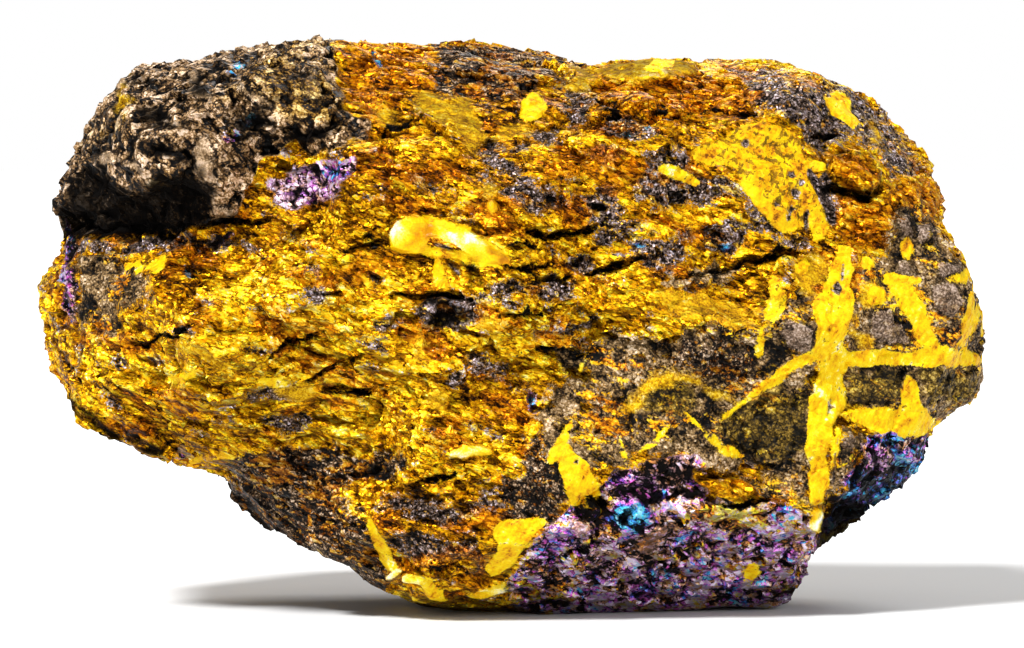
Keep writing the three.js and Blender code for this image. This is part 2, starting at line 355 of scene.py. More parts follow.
boulderPatches = [  # the dull stone at the upper left
    shape((-21.2, 70), (-20.9, 65.9), (-20.2, 62.1), (-19.2, 58.3), (-16.6, 56.8), (-17, 54.6),
          (-20, 53.9), (-23, 52.9), (-25.3, 54.6), (-27, 53.2), (-29.2, 52), (-30.3, 49.6), (-31.6, 47.3),
          (-31.4, 45), (-32.9, 45.4), (-36, 44.3), (-42.4, 43.7), (-50.8, 43.3), (-60, 42), (-60, 72)),
]

shadedHollowPatches = [  # the undercut below it and smaller pits: sunk in, and painted black as shadow
    shape((-51, 50.8), (-49, 51.6), (-47, 50.8), (-45, 48.9), (-43, 48.8), (-41.5, 50), (-38, 50.9),
          (-35.6, 50.2), (-34.6, 48), (-35, 46.2), (-37, 44.8), (-42, 43), (-49, 42.8), (-54, 43),
          (-54, 46), (-51.5, 47.5)),
    blob(-41, 57, 2.4, 1, -10), blob(-39.4, 53, 3, 0.7, -14), blob(-28.8, 56.8, 2.2, 0.7, -12),
    strip((-31, 54.8, 0.2), (-26, 54.9, 0.5), (-19.5, 56, 0.4)), blob(-43.6, 61.6, 1, 0.8),
    blob(-36.5, 61, 1, 0.9), blob(-7.6, 33.8, 2.6, 1.2, 8), blob(-8.8, 36, 1.6, 0.4, 5),
    blob(-4.9, 39.9, 0.7, 0.4), blob(-16.2, 16.4, 1.6, 0.8, -10), blob(30.5, 36.5, 1, 0.5),
    # painted shadow low on the left outline, along the foot and in the notch
    strip((-51.4, 24.6, 0.3), (-48, 21.4, 0.7), (-44.5, 19.4, 0.6), (-40.7, 18, 0.4)),
    strip((-34, 15.4, 0.3), (-31, 11.4, 0.7), (-28.2, 9, 0.5), (-23, 5.4, 0.6), (-18, 3, 0.4)),
    strip((0, 2.2, 0.2), (2.6, 1.9, 0.5), (6, 0.9, 0.5)),
    shape((35.9, 10.8), (36.6, 13), (38.6, 13.4), (41, 12.2), (44, 12.6), (46.6, 14), (49, 10), (44, 1),
          (38, 1), (35.6, 6)),
    strip((29, 1.2, 0.5), (33, 2.4, 0.7), (35, 4, 0.3)),
]

slatePatches = [  # black with pale glints
    shape((5.5, 60.2), (9.3, 60.4), (9, 57), (7, 56.2)),
    shape((10.4, 57), (13, 57.8), (16.8, 56), (15.6, 54.4), (11.6, 55)),
    shape((8.9, 53.6), (11, 54.2), (13.2, 52.6), (11.4, 51.6), (9, 52)),
    strip((-3, 53.4, 0.4), (-1.4, 52, 1.2), (0.6, 51.4, 0.5)),
    strip((-2.8, 51.4, 0.4), (-2.4, 49.2, 0.5)),
    shape((-1.2, 48.6), (1, 49.6), (5.9, 48.4), (5.4, 46.8), (2, 46.4)), blob(7.7, 49.2, 0.9, 0.5),
    shape((9, 48), (10.6, 49.6), (12.5, 48.6), (12.3, 44), (11.6, 42), (9.8, 42.4), (9.4, 45)),
    shape((13.5, 49.6), (17, 51.4), (22, 50.6), (25.4, 49.7), (26, 47.8), (22.4, 47.2), (17, 47.2),
          (14, 48)),
    shape((15.9, 52.6), (17.6, 54.1), (20.2, 53.4), (20, 51.9), (17, 51.5)),
    strip((0.8, 54, 0.4), (3.2, 54.8, 0.9), (5.5, 55.4, 0.4)),
    shape((13.2, 41.4), (16, 44), (20.4, 43.4), (20, 40), (16, 39.2)),
    shape((3.1, 37.6), (5, 38.9), (7.6, 38.4), (7.2, 36.4), (4, 35.8)),
    strip((7, 40.2, 0.7), (9, 40.2, 0.8)),
    shape((22.6, 44), (25.6, 45.8), (28, 43.6), (26.4, 41.4), (22.8, 41.4)),
    strip((25.4, 48.6, 0.6), (28, 46.2, 0.8), (31.6, 43.3, 0.8), (34, 42.3, 0.3)),
    shape((26.8, 61.6), (31, 62.2), (36, 62), (41, 60), (45, 56), (48.4, 51), (44.2, 50.4), (43.4, 53),
          (40.5, 55), (37.5, 54.6), (35.8, 52.6), (34.6, 54.6), (33.8, 56.2), (30, 57.4), (27.6, 58.6)),
    shape((36.7, 52), (36, 49.6), (37.4, 46.6), (38.2, 45.4), (38.6, 46.6), (37.2, 49)),
    shape((30.6, 36), (33.6, 37), (34.6, 35.6), (33, 34.6)),
    strip((-50.6, 42, 0.9), (-45, 42.2, 1), (-40, 42.6, 0.9), (-36.6, 43.4, 0.4)),
    strip((-34.6, 43, 0.4), (-30.6, 42.4, 0.7)),
    shape((-11.6, 34), (-9.6, 36.6), (-5.6, 37.3), (-3.4, 36.2), (-3.6, 33.2), (-6.5, 32.2),
          (-9.6, 32.2)),
    strip((-6.4, 27, 0.6), (-3.6, 28.2, 1), (-0.6, 27.6, 0.6)),
    strip((-30, 25, 0.4), (-27.4, 25, 0.8), (-24.6, 25.4, 0.4)),
    strip((-28.6, 22, 0.5), (-26, 21.4, 1.2), (-24, 22.4, 0.5)),
    strip((-24.6, 36, 0.3), (-22.3, 36.5, 0.8), (-20, 37.4, 0.3)),
    strip((-24.4, 39.4, 0.3), (-22.6, 39.7, 0.5)), blob(-26.6, 47.6, 0.8, 0.5),
    strip((-4, 14.4, 0.8), (-1.8, 12.8, 1), (0.6, 13.4, 0.6)),
    strip((-11.6, 11.6, 0.5), (-7.4, 10.8, 0.8), (-4.4, 11.8, 0.4)),
    strip((-8, 6.2, 0.5), (-4.6, 7.2, 0.8), (-3.4, 4.4, 0.5)), strip((-2.4, 36.6, 0.4), (0.4, 37.6, 0.8)),
    strip((-15.6, 33.2, 0.4), (-13, 33.6, 0.6)), strip((3, 31.8, 0.4), (6, 32.8, 0.8), (9.4, 33.4, 0.5)),
    strip((-16.6, 60.4, 0.4), (-16, 57.8, 0.5)),
    shape((-14.6, 8.6), (-10, 9.2), (-7.6, 8), (-8, 6), (-12, 5.6)), blob(-13.6, 12.2, 1.8, 0.8, -30),
]

matrixPatches = [  # brown grey, fine grained
    shape((-50.8, 40.6), (-47.6, 41.8), (-44.6, 40.4), (-42.4, 39), (-42, 36.4), (-44.6, 35.4),
          (-46.6, 33), (-50.6, 32.8)),
    strip((-50, 33.4, 0.5), (-46.4, 32.6, 0.7)),
    shape((18, 38.6), (21, 40), (24.4, 40.2), (26.4, 39.2), (23, 37.6), (18.8, 37.4)),
    shape((45.2, 45.2), (47.2, 48.4), (48.2, 46), (47.2, 43)),
    # right of the upright vein
    shape((40, 41), (42.6, 41.6), (44.2, 43), (45, 46.4), (46.6, 47.6), (48.6, 45.6), (50.5, 43),
          (52.6, 40), (55, 36), (60, 31), (60, 25), (53, 22.5), (49, 22), (41, 21), (39, 25), (38.8, 33)),
    # left of the upright vein
    shape((5.8, 30.4), (11.5, 31.2), (17.2, 31.6), (22.9, 33), (25.6, 34.4), (28.6, 33.2), (32.5, 37),
          (35, 36), (35.4, 21.8), (35, 13), (32.4, 12.6), (29.8, 15.3), (21.3, 16.6), (19.1, 17.8),
          (15.3, 17.4), (10.7, 16.8), (6.9, 13), (5.4, 10.4), (2.3, 9.6), (0, 11.9), (0, 14.9),
          (2.7, 16.1), (3.5, 20.6), (2.3, 23.3), (5.4, 25.6), (9.5, 26.9), (6.1, 28.6)),
    shape((38.4, 20.8), (42, 20.6), (41.6, 18), (40.2, 15), (38, 12.8), (36.8, 12), (36.9, 17)),
    shape((28.4, 15.8), (31, 15.6), (35, 13), (35, 11.6), (31.6, 12.4), (29.6, 13.2)),
]

earthPatches = [  # brown black: the slope at the lower left, and crumbly places elsewhere
    shape((-8.6, 66), (-8.2, 61), (-6.3, 60.2), (-3.6, 60.2), (-1.7, 58.8), (0.6, 59.6), (2.5, 60.6),
          (4.4, 61.3), (6.8, 61.1), (7.8, 63), (6, 66)),
    shape((19.2, 30.8), (24, 31.6), (28.6, 30), (29, 27.2), (25, 26.4), (20.2, 27.6)),
    shape((-33.4, 16.6), (-30.7, 18), (-25.3, 19.1), (-21.5, 19), (-19, 18), (-15, 18.6), (-12.4, 17),
          (-14, 15), (-18.6, 15), (-20.6, 13.4), (-17.2, 10.4), (-15.8, 7.4), (-14.4, 4.4), (-15, -4),
          (-28, -1), (-38, 7)),
    shape((3.4, 20.4), (1.4, 16.4), (-0.4, 15.4), (-0.8, 11), (3.2, 9.8), (6, 11), (7, 12.8), (5.4, 16)),
]

rustPatches = [  # orange brown ore
    shape((-20.6, 65.8), (-11, 65.4), (-6.8, 64), (-6.4, 61.6), (-9, 60.4), (-12.6, 59.4), (-14.8, 56.6),
          (-18.4, 57.6)),
    shape((9.9, 61.6), (19, 62.3), (26.7, 61.6), (29.3, 59.9), (29, 58.3), (23.6, 57.4), (17.2, 56.6),
          (9.9, 58.3)),
    shape((38.6, 46.6), (40.4, 47.7), (43.4, 48.4), (46, 50.4), (49.4, 50.7), (49.9, 46.6), (48.7, 44.3),
          (47, 42.8), (44.9, 42.4), (41.9, 41.4), (40, 41.8), (38.6, 44.3)),
    shape((7, 55), (13, 53), (15.4, 50.4), (12.6, 48.2), (8, 51), (4.4, 50.6)),
    blob(-38.6, 24.3, 3.2, 1.6), blob(-0.5, 8.6, 1.6, 1.4), strip((-9, 6, 0.5), (-3.6, 6.2, 0.6)),
    strip((-6.6, 3, 0.8), (-3.6, 3.6, 0.8)), blob(-18.4, 39.6, 4, 1, 12),
    strip((-13.4, 5.2, 0.7), (-9.4, 5.4, 0.9), (-5, 4.6, 0.7)), blob(47.8, 17.2, 0.7, 0.9),
    strip((-47, 44.2, 0.3), (-44, 43.5, 0.5)),
]

nodulePatches = [  # grains of brighter ore that stand out
    shape((36.9, 52.4), (38.6, 53), (41.4, 53.1), (43, 50.9), (43, 49.1), (40.6, 48.5), (37.9, 49),
          (36.6, 50.9)),
    shape((20.9, 14.2), (22.2, 15.4), (26.4, 15.5), (29.4, 13.9), (28, 13), (24, 12.8)),
]

oilPatches = [  # dark olive, fine grained
    shape((23, 21.4), (26.4, 24.2), (31, 26), (34.4, 24.6), (34.2, 18.2), (30, 16.6), (26.4, 17.8)),
    shape((39.4, 27.6), (46, 28), (54.6, 27.8), (54.4, 24.4), (49, 24), (46.6, 27.2), (44.6, 23.8),
          (39.4, 23.6)),
    blob(18.3, 24.3, 3, 2),
]

tarnishPatches = [  # purple, blue and teal
    # the lip along the foot
    shape((0, 1.6), (0, 4.3), (2.3, 6.9), (4.2, 10), (6.9, 11.9), (10.3, 14.2), (11.2, 16.4),
          (14.5, 16.8), (16.4, 17.4), (20.4, 17.6), (21, 14.9), (23.6, 12.6), (28.2, 12.2), (31.6, 12.6),
          (33.5, 11.9), (35.4, 8.8), (35.4, 4), (34, -6), (0, -6)),
    # its neighbour across the notch
    shape((41.8, 20.2), (46, 20.8), (48.9, 20.4), (50, 17), (46.1, 13.4), (44, 10), (40.4, 8),
          (36.5, 8.5), (36.4, 10.4), (37.6, 12.4), (39, 15), (40.6, 17.6)),
    # the small bright patch under the dull stone
    shape((-28, 49.6), (-26.1, 51.1), (-23, 51.5), (-19.6, 52.6), (-18.3, 52.5), (-19.2, 50.4),
          (-21.1, 48.1), (-23, 46.8), (-25.3, 46.9), (-27.6, 47.7)),
    strip((-34, 43.2, 0.5), (-32.6, 43.6, 0.6)),
    strip((-51.2, 43.2, 0.7), (-51.6, 39, 0.8), (-51.4, 35, 0.6), (-51, 33.6, 0.3)),
    blob(-38.2, 17.4, 0.8, 0.5), blob(-15.4, 63.7, 0.35, 0.4), blob(15.6, 56.3, 0.4, 0.25, 20),
    blob(13.7, 55.2, 0.4, 0.3, 20), strip((15, 42.3, 0.15), (16.6, 42, 0.3)), blob(25, 42.4, 0.6, 0.35),
    blob(2.4, 24, 0.8, 1.2, 20), blob(-37.7, 39.3, 0.5, 0.6), blob(-32.3, 63, 0.5, 0.6),
    blob(-32.6, 55.2, 0.5, 0.35), blob(-30.2, 57, 0.4, 0.35), strip((22.6, 16.4, 0.3), (20.6, 17.6, 0.3)),
]

hues = [  # where the tarnish holds to one hue: a place on its run of colours, and how firmly
    (shape((11.4, 16.3), (14.5, 16.8), (17.7, 15.4), (17, 12.8), (14.2, 12.4), (11.6, 13.6)), 0.59, 0.7),
    (shape((11.4, 11.2), (12.6, 12.4), (15.4, 12.5), (16.3, 10.8), (15.2, 8.7), (13.4, 8.8), (11.6, 10.2)),
     0.82, 1),
    (shape((7.5, 9.3), (8, 10.3), (9.1, 10.1), (8.9, 8.9), (8, 8.3)), 0.43, 1),
    (shape((13.6, 6.2), (15.4, 8.2), (17.7, 11), (19.4, 10), (17.6, 6.8), (15.4, 5)), 0.26, 0.8),
    (shape((8.6, 6.6), (10.6, 8.4), (12.4, 7.2), (11.6, 5), (9.4, 5)), 0.33, 0.6),
    (blob(30.9, 5.6, 1.5, 2), 0.52, 0.5),
    (blob(11.4, 1.3, 1.6, 0.9), 0.6, 0.7),
    (blob(15.6, 2, 1.8, 1.1, 15), 0.75, 0.8),
    (blob(26.1, 2.8, 1.2, 0.8), 0.84, 0.7),
    (blob(4.6, 7.4, 1.5, 1), 0.84, 0.5),
    (blob(25.8, 10.8, 4.2, 1.7, -8), 0.06, 0.95),
    (shape((13, 17.4), (20.6, 18), (20.8, 15), (18.4, 13.6), (16.4, 15.6)), 0.24, 0.7),
    (shape((41.8, 20.2), (46, 20.8), (48.9, 20.4), (50, 17), (46.1, 13.4), (44, 10), (36.5, 8.5),
           (36.4, 10.4), (39, 15)), 0.85, 0.85),
    (blob(42.6, 17.4, 1.4, 1.8, 20), 0.56, 0.8),
    (blob(47.4, 18.6, 1.6, 0.9, -20), 0.92, 0.7),
    (shape((-28.5, 49.6), (-26.1, 52), (-19.6, 53), (-17.8, 52.5), (-19.2, 49), (-23, 45.8), (-28, 47)),
     0.44, 0.9),
    (blob(-20.6, 50.8, 1, 0.6), 0.88, 0.8),
    (strip((-51.4, 43, 1), (-52.4, 36, 1)), 0.86, 0.5),
    (strip((-37.7, 39.3, 1), (-30.2, 57, 1), (-32.3, 63, 1)), 0.9, 1),
    (strip((13, 55, 1), (16, 56.4, 1)), 0.9, 1),
    (strip((15, 42.3, 1), (25, 42.4, 1)), 0.8, 1),
    (blob(-15.4, 63.7, 1, 1), 0.9, 1),
    (blob(2.4, 24, 1.2, 1.6), 0.86, 0.7),
]

facetPatches = [  # smoother faces in the dull stone and the matrix
    shape((-48.3, 52.2), (-46.9, 53.5), (-45.9, 53.2), (-46.1, 52.2), (-47.8, 51.3)),
    shape((-45.6, 52.2), (-43.6, 51.9), (-43.5, 50.8), (-45, 51.2)),
    shape((-36.8, 54.8), (-35.6, 55), (-34.6, 52), (-34.4, 49.4), (-35.8, 50.4), (-37.2, 53)),
    shape((-35.2, 46.7), (-32.6, 46.6), (-31.7, 45.6), (-34.4, 45)),
    shape((-31.5, 60.4), (-29.6, 60), (-27.9, 58.4), (-29.4, 58.8)),
    shape((-37.9, 62.4), (-36.9, 62.4), (-35.4, 59.5), (-36.4, 59.4)),
    shape((-24, 62.8), (-22.8, 62.6), (-22.4, 59.4), (-23.6, 60)),
    shape((-46.9, 62.6), (-45.4, 62.6), (-46, 60.6), (-47.2, 60.8)),
    shape((31.6, 32.6), (33, 33.4), (34.5, 32.4), (34.4, 30.2), (32.4, 30)),
    shape((41.4, 31.2), (41.8, 34.2), (44, 35), (45.8, 32.8), (46.4, 31)),
    shape((39.2, 26.4), (44.8, 26.6), (44.4, 24.2), (39.4, 24.2)),
    shape((45.2, 45.8), (46.2, 45.6), (46.6, 43.4), (45.3, 43.4)),
    shape((44.5, 40.6), (46.4, 40.4), (46.6, 39), (44.9, 39)),
    shape((50.2, 40.4), (52.2, 40), (51.4, 38.8), (50, 39)),
    shape((48.9, 37.6), (51.2, 38), (52.6, 36), (51.4, 34), (49.6, 34.6)),
    shape((36.9, 20.4), (40.4, 20.2), (39.6, 18.4), (38.6, 18.8)),
    shape((24.6, 29.6), (27.2, 30.4), (28.6, 28.8), (26.2, 28)),
    shape((19.6, 34.2), (22.4, 34.8), (22.6, 33.4), (20.2, 33.2)),
    shape((14.8, 7.6), (16.2, 8.6), (17.7, 10), (17.6, 8.4), (15.8, 6.6)),
    shape((7.5, 9.3), (8, 10.3), (9.1, 10.1), (8.9, 8.9), (8, 8.3)),
    shape((46.6, 44.8), (48.2, 45.2), (49.4, 43.4), (47.8, 42.6)),
]

glowPatches = [  # where the colour is lighter: partly the ore's own lighter zones, partly painted highlight, such as the white on the upright vein and on the lens
    blob(-24, 34, 11, 8, 10), blob(-46, 27, 5, 3, -10), blob(-24, 22, 8, 4, 10), blob(2, 32.6, 9, 4),
    blob(12, 20, 3, 2), strip((37.3, 29.6, 1), (37, 23.2, 1)), strip((39.4, 29.4, 0.6), (45, 29.2, 0.6)),
    blob(-13.4, 44.4, 1.4, 1.2), strip((-7, 43.2, 0.3), (-4, 42.4, 0.5)), blob(35.4, 9.8, 1, 1),
    strip((-7, 18.3, 0.5), (-2.6, 18.4, 0.5)), strip((-14, 3.8, 0.8), (-11, 3, 0.8)),
    strip((-5, 1.2, 0.6), (-1, 2.5, 0.6)), blob(25.8, 10.8, 4, 1.6, -8), blob(30.9, 5.6, 1.4, 1.6),
]

duskPatches = [  # and where it is darker: partly darker ore, partly painted shade, such as along the lower left outline and over the bulge of the tarnished lip
    shape((-52, 44), (-30, 45), (-32, 40), (-42, 34), (-52, 34)), blob(10, 58, 24, 3),
    blob(-13, 60, 5, 4), blob(3, 50, 12, 4, -10), strip((-52, 30, 1), (-44, 20.6, 1.4), (-36, 17.6, 1)),
    strip((-34, 14.4, 1), (-30, 10, 1.8), (-24, 6, 1.6), (-17, 3, 0.9)), blob(0, 40.6, 1.6, 1),
    blob(-10.2, 43.6, 0.7, 1), shape((38, 13), (41, 18), (46, 17), (48, 15), (46, 9), (38, 9)),
    blob(16, 15.8, 5.4, 2.4), blob(9.4, 10.8, 2.4, 1.8), blob(-10, 10.4, 7, 4.4), blob(48, 19, 2.5, 2),
]

gildedPatches = [  # where gold shows through the grey
    shape((-31, 66), (-20, 66), (-19, 56.4), (-26, 57), (-31, 61)), blob(-32.8, 60.2, 1, 0.7),
    strip((-50.4, 55, 0.6), (-45.6, 56, 0.7)), blob(-40.6, 49.2, 1.2, 1), blob(30, 34, 5, 2.4, 10),
    blob(20, 33.5, 8, 1.6, -4), blob(46, 33.5, 3, 5), blob(10, 22, 4, 3), blob(47, 54, 3, 2),
    blob(33, 61.6, 3, 1), blob(0, 62.6, 5, 2), blob(-26, 16, 3, 1.5), blob(-21, 13.4, 3, 1.4, -30),
]

speckledPatches = [  # where the veins are peppered with dark grains
    shape((20, 53), (21.3, 55), (26.7, 57.4), (33.1, 56.7), (35.4, 53), (36.9, 47), (36.5, 43),
          (33, 44.6), (30.6, 46.4), (27.4, 49.6)),
    shape((24, 58), (20, 54), (27, 53.6), (34, 53.4), (34, 57)),
]

gapPatches = [  # grey gaps and single dark grains inside the veins
    strip((34.6, 51, 0.4), (36.3, 48.4, 0.65), (37.5, 45.2, 0.6)),
    strip((34.4, 46.4, 0.25), (34.3, 44.2, 0.3)), blob(32.5, 50.5, 0.55, 0.45),
    blob(33.1, 48.4, 0.5, 0.7), blob(30.9, 47.1, 0.4, 0.5), blob(33.7, 49.7, 0.4, 0.4),
    blob(32.6, 46.6, 0.4, 0.6), blob(27.4, 54.2, 0.5, 0.4), blob(37.8, 37.4, 0.55, 0.8, 5),
    blob(32.4, 45.6, 0.3, 0.5), strip((38.6, 40, 0.1), (38.4, 38.4, 0.2)),
    strip((37.2, 24.6, 0.15), (37, 22.6, 0.2)), strip((37.9, 20, 0.12), (37.4, 14.5, 0.15)),
    strip((-9.1, 42.6, 0.1), (-7.9, 42.1, 0.3), (-6.9, 41.7, 0.25)),
    strip((-7.2, 40.2, 0.3), (-6.2, 39.2, 0.4)), blob(-7, 3, 0.5, 0.4), blob(7.6, 17.2, 0.3, 0.25),
]

shadedCrackPatches = [  # narrow, sunk in, and painted black as shade
    strip((-52, 44, 0.5), (-46, 43.6, 0.6), (-40, 43.9, 0.5), (-35, 45, 0.4), (-31, 45.2, 0.35),
          (-27.7, 45, 0.15)),
    strip((-16.8, 54.8, 0.45), (-14.6, 55.4, 0.35), (-12, 56.8, 0.1), (-9.8, 57.4, 0.05)),
    strip((-17.6, 43, 0.1), (-15.8, 43.8, 0.2)),
    strip((-20, 41.6, 0.15), (-17, 42, 0.25), (-15, 43, 0.1)),
    strip((-37.4, 39.4, 0.3), (-34.6, 39.3, 0.2)),
    strip((-13.9, 36.2, 0.15), (-11, 36.6, 0.3), (-7, 36.6, 0.35), (-4.8, 36, 0.15)),
    strip((9.5, 59, 0.2), (11, 58.5, 0.35), (12.9, 58.3, 0.15)),
    strip((16.2, 57.7, 0.3), (18, 57.9, 0.45), (19, 57.7, 0.2)),
    strip((10.6, 56.9, 0.15), (12.4, 57.1, 0.2)),
    strip((20.4, 57.6, 0.1), (23, 58, 0.15), (28.5, 57.9, 0.25)),
    strip((-0.2, 42.8, 0.1), (1.6, 42.5, 0.3), (3.1, 42, 0.1)),
    strip((2.2, 44, 0.2), (4, 43.6, 0.35), (5.3, 43.3, 0.3), (7.4, 43.7, 0.3), (9.8, 44.3, 0.15)),
    strip((-0.4, 39.8, 0.15), (3, 40, 0.2), (5, 40.8, 0.1)),
    strip((2.5, 38, 0.15), (5, 38.6, 0.3), (7.4, 38.8, 0.15)),
    strip((9.2, 39, 0.2), (12, 39.7, 0.4), (14, 40.6, 0.3), (15.6, 40.9, 0.15)),
    strip((18.9, 38.8, 0.1), (24, 39.2, 0.2), (28, 40.2, 0.35), (31, 41.7, 0.35), (33.5, 41.6, 0.15)),
    strip((0, 29.4, 0.15), (3.5, 30, 0.25), (5.2, 30.8, 0.1)),
    strip((-21.9, 25.5, 0.2), (-18, 25.2, 0.35), (-15, 25.6, 0.15)),
    strip((-23.8, 26.3, 0.1), (-20, 28.3, 0.25), (-17.5, 29, 0.1)),
    strip((-28.6, 29.6, 0.1), (-25, 31, 0.15), (-22, 32.4, 0.1)),
    strip((-44, 30.8, 0.1), (-40, 31.6, 0.2), (-37, 32.9, 0.1)),
    strip((-1, 34.2, 0.15), (3, 34.6, 0.25), (6.4, 35.6, 0.1)),
    strip((9, 47.4, 0.15), (10.6, 46.8, 0.25)),
    strip((-11.6, 13.8, 0.2), (-8.6, 14.9, 0.3), (-6.6, 15.8, 0.1)),
    strip((-9.5, 4.7, 0.2), (-6, 5, 0.35), (-4.6, 4.2, 0.2)),
    strip((37, 48.9, 0.2), (39, 48.2, 0.35), (41, 48, 0.4), (43.3, 48.8, 0.2)),
    strip((35.4, 54.8, 0.1), (37.6, 55.2, 0.2)),
    strip((22.5, 12.6, 0.15), (26, 12.2, 0.35), (30, 12.6, 0.2)),
    strip((10.6, 14.2, 0.1), (8.4, 12.2, 0.3), (11, 12.2, 0.3)),
    strip((4, 5.2, 0.1), (7, 6.4, 0.35), (10, 7.6, 0.2)),
    strip((17.5, 7.2, 0.1), (20, 6.2, 0.3), (22, 7.4, 0.1)),
]

backPatches = {  # on the far side: broad areas, drawn as if seen from in front through the rock
    "vein": [
        strip((-34, 6, 0.3), (-26, 17, 0.9), (-20, 30, 1.3), (-16.5, 44, 0.9), (-15, 55, 0.4)),
        strip((-19, 32, 0.7), (-6, 36, 0.5), (3, 41, 0.2)),
        strip((24, 12, 0.3), (31, 22, 0.7), (40, 29, 0.3)),
    ],
    "quartz": [blob(9, 50, 3.2, 1.5, -12), blob(-38, 36, 2, 1, 20)],
    "matrix": [
        shape((-46, 58), (-30, 66), (-12, 60), (-8, 44), (-22, 36), (-40, 40)),
        shape((16, 8), (40, 12), (50, 26), (44, 38), (28, 36), (14, 22)),
        blob(24, 54, 8, 4, -10),
    ],
    "rust": [blob(0, 24, 12, 5, -20), blob(40, 46, 8, 6), blob(-30, 26, 8, 4, 10)],
    "tarnish": [
        shape((-14, 2), (-10, 12), (0, 16), (12, 12), (18, 2), (10, -6), (-10, -6)),
        blob(-42, 50, 4, 3),
    ],
    "oil": [blob(36, 30, 5, 4)],
    "hollow": [blob(40, 9, 4, 3)],
    "crack": [
        strip((-24, 50, 0.2), (-10, 47, 0.5), (2, 50, 0.2)),
        strip((4, 34, 0.2), (20, 40, 0.5), (30, 38, 0.2)),
    ],
    "gilded": [blob(-28, 50, 12, 4, 20), blob(32, 18, 8, 4)],
}

rock = {
    "voxel": 0.33,          # mm, the net that the relief is cut into
    "smoothing": 10,        # passes over the bare lump
    "triangles": 190000,
    "grain": -16,           # degrees, how far the streaks of ore rise to the right
    "stretch": 2.2,         # how much longer than wide the streaks are
    "farSide": 4,           # mm behind the middle, where the front's patches begin to give out
    "ragged": 14,           # mm, how uneven that line is
    "wander": 0.45,         # mm, how far the edges of patches stray
    "wanderOver": 2.6,      # mm, the length of one such stray
    "drift": 5,             # mm, how far patches bend as they run back over the sides
    "driftOver": 9,         # mm, the length of one such bend
    "seed": 11,             # another number gives other strays and bends
    "deepest": 4,           # mm, past this a patch is no deeper
    "standsOut": {"boulder": 1.1, "nodule": 0.9},  # mm
    "goesIn": {"hollow": 0.7, "crack": 1.2, "gap": 0.4},  # mm
    "deeperInStone": 1.7,   # mm, how much deeper hollows go in the dull stone
    "around": 14,           # steps along the net that count as a point's surroundings
    "footHeight": 2.5,      # mm, the relief fades out over this so that the foot stays flat
}

minerals = {  # which patches, and how far their edges stray compared with the rest
    "vein": (veinPatches, 0.7),
    "quartz": (quartzPatches, 0.5),
    "spar": (sparPatches, 1.5),
    "boulder": (boulderPatches, 1.5),
    "hollow": (shadedHollowPatches, 1.5),
    "matrix": (matrixPatches, 2.2),
    "slate": (slatePatches, 1.6),
    "earth": (earthPatches, 2.2),
    "rust": (rustPatches, 2),
    "nodule": (nodulePatches, 0.7),
    "oil": (oilPatches, 2),
    "tarnish": (tarnishPatches, 1.2),
    "facet": (facetPatches, 1.4),
    "gilded": (gildedPatches, 1.5),
    "glow": (glowPatches, 3),
    "dusk": (duskPatches, 3),
    "speckled": (speckledPatches, 1),
    "gap": (gapPatches, 0.5),
    "crack": (shadedCrackPatches, 1.6),
}


def applyAll(piece):  # the modifiers just added, in order
    for modifier in list(piece.modifiers):
        bpy.ops.object.modifier_apply(modifier=modifier.name)


def copyLump():  # the plain lump, merged, with an even net and its corners worn round
    source = bpy.data.objects[lumpName]
    piece = bpy.data.objects.new("chalcopyrite_rock", source.data.copy())
    bpy.context.scene.collection.objects.link(piece)
    piece.data.materials.clear()
    bpy.ops.object.select_all(action="DESELECT")
    piece.select_set(True)
    bpy.context.view_layer.objects.active = piece
    bpy.ops.object.mode_set(mode="EDIT")
    bpy.ops.mesh.select_all(action="SELECT")
    bpy.ops.mesh.remove_doubles(threshold=0.001 * mm)
    bpy.ops.object.mode_set(mode="OBJECT")
    remesh = piece.modifiers.new("net", "REMESH")
    remesh.mode = "VOXEL"
    remesh.voxel_size = rock["voxel"] * mm
    smooth = piece.modifiers.new("wear", "SMOOTH")
    smooth.iterations = rock["smoothing"]
    applyAll(piece)
    print("lump copied:", len(piece.data.vertices), "points")
    return piece


def pointsOf(mesh):
    flat = np.empty(3 * len(mesh.vertices), np.float32)
    mesh.vertices.foreach_get("co", flat)
    return flat.reshape(-1, 3).astype(float)


def asSeen(points):  # where the camera sees each point: mm across and up on a board through the middle
    away = points - np.array(camera.location)
    lift = math.radians(studio["elevation"])
    ahead = np.array((0, math.cos(lift), -math.sin(lift)))
    up = np.array((0, math.sin(lift), math.cos(lift)))
    onBoard = away * (studio["distance"] / (away @ ahead))[:, None]
    across, height = studio["board"]
    return np.stack((onBoard[:, 0] + across, onBoard @ up + height), axis=1)


def keepField(mesh, name, values):
    layer = mesh.attributes.get(name) or mesh.attributes.new(name, "FLOAT", "POINT")
    layer.data.foreach_set("value", values.astype(np.float32))


def facingOf(mesh):  # which way each point faced while the lump was still smooth
    flat = np.empty(3 * len(mesh.vertices), np.float32)
    if "facing" not in mesh.attributes:
        mesh.vertex_normals.foreach_get("vector", flat)
        mesh.attributes.new("facing", "FLOAT_VECTOR", "POINT").data.foreach_set("vector", flat)
    mesh.attributes["facing"].data.foreach_get("vector", flat)
    return flat.reshape(-1, 3)


def depthIn(patches, place):
    return np.max([patch(place) for patch in patches], axis=0)


def bends(points, size, depth):  # a slow vector of noise for each point
    return np.array([noise.turbulence_vector(Vector(p) / (size * mm), depth, False) for p in points])


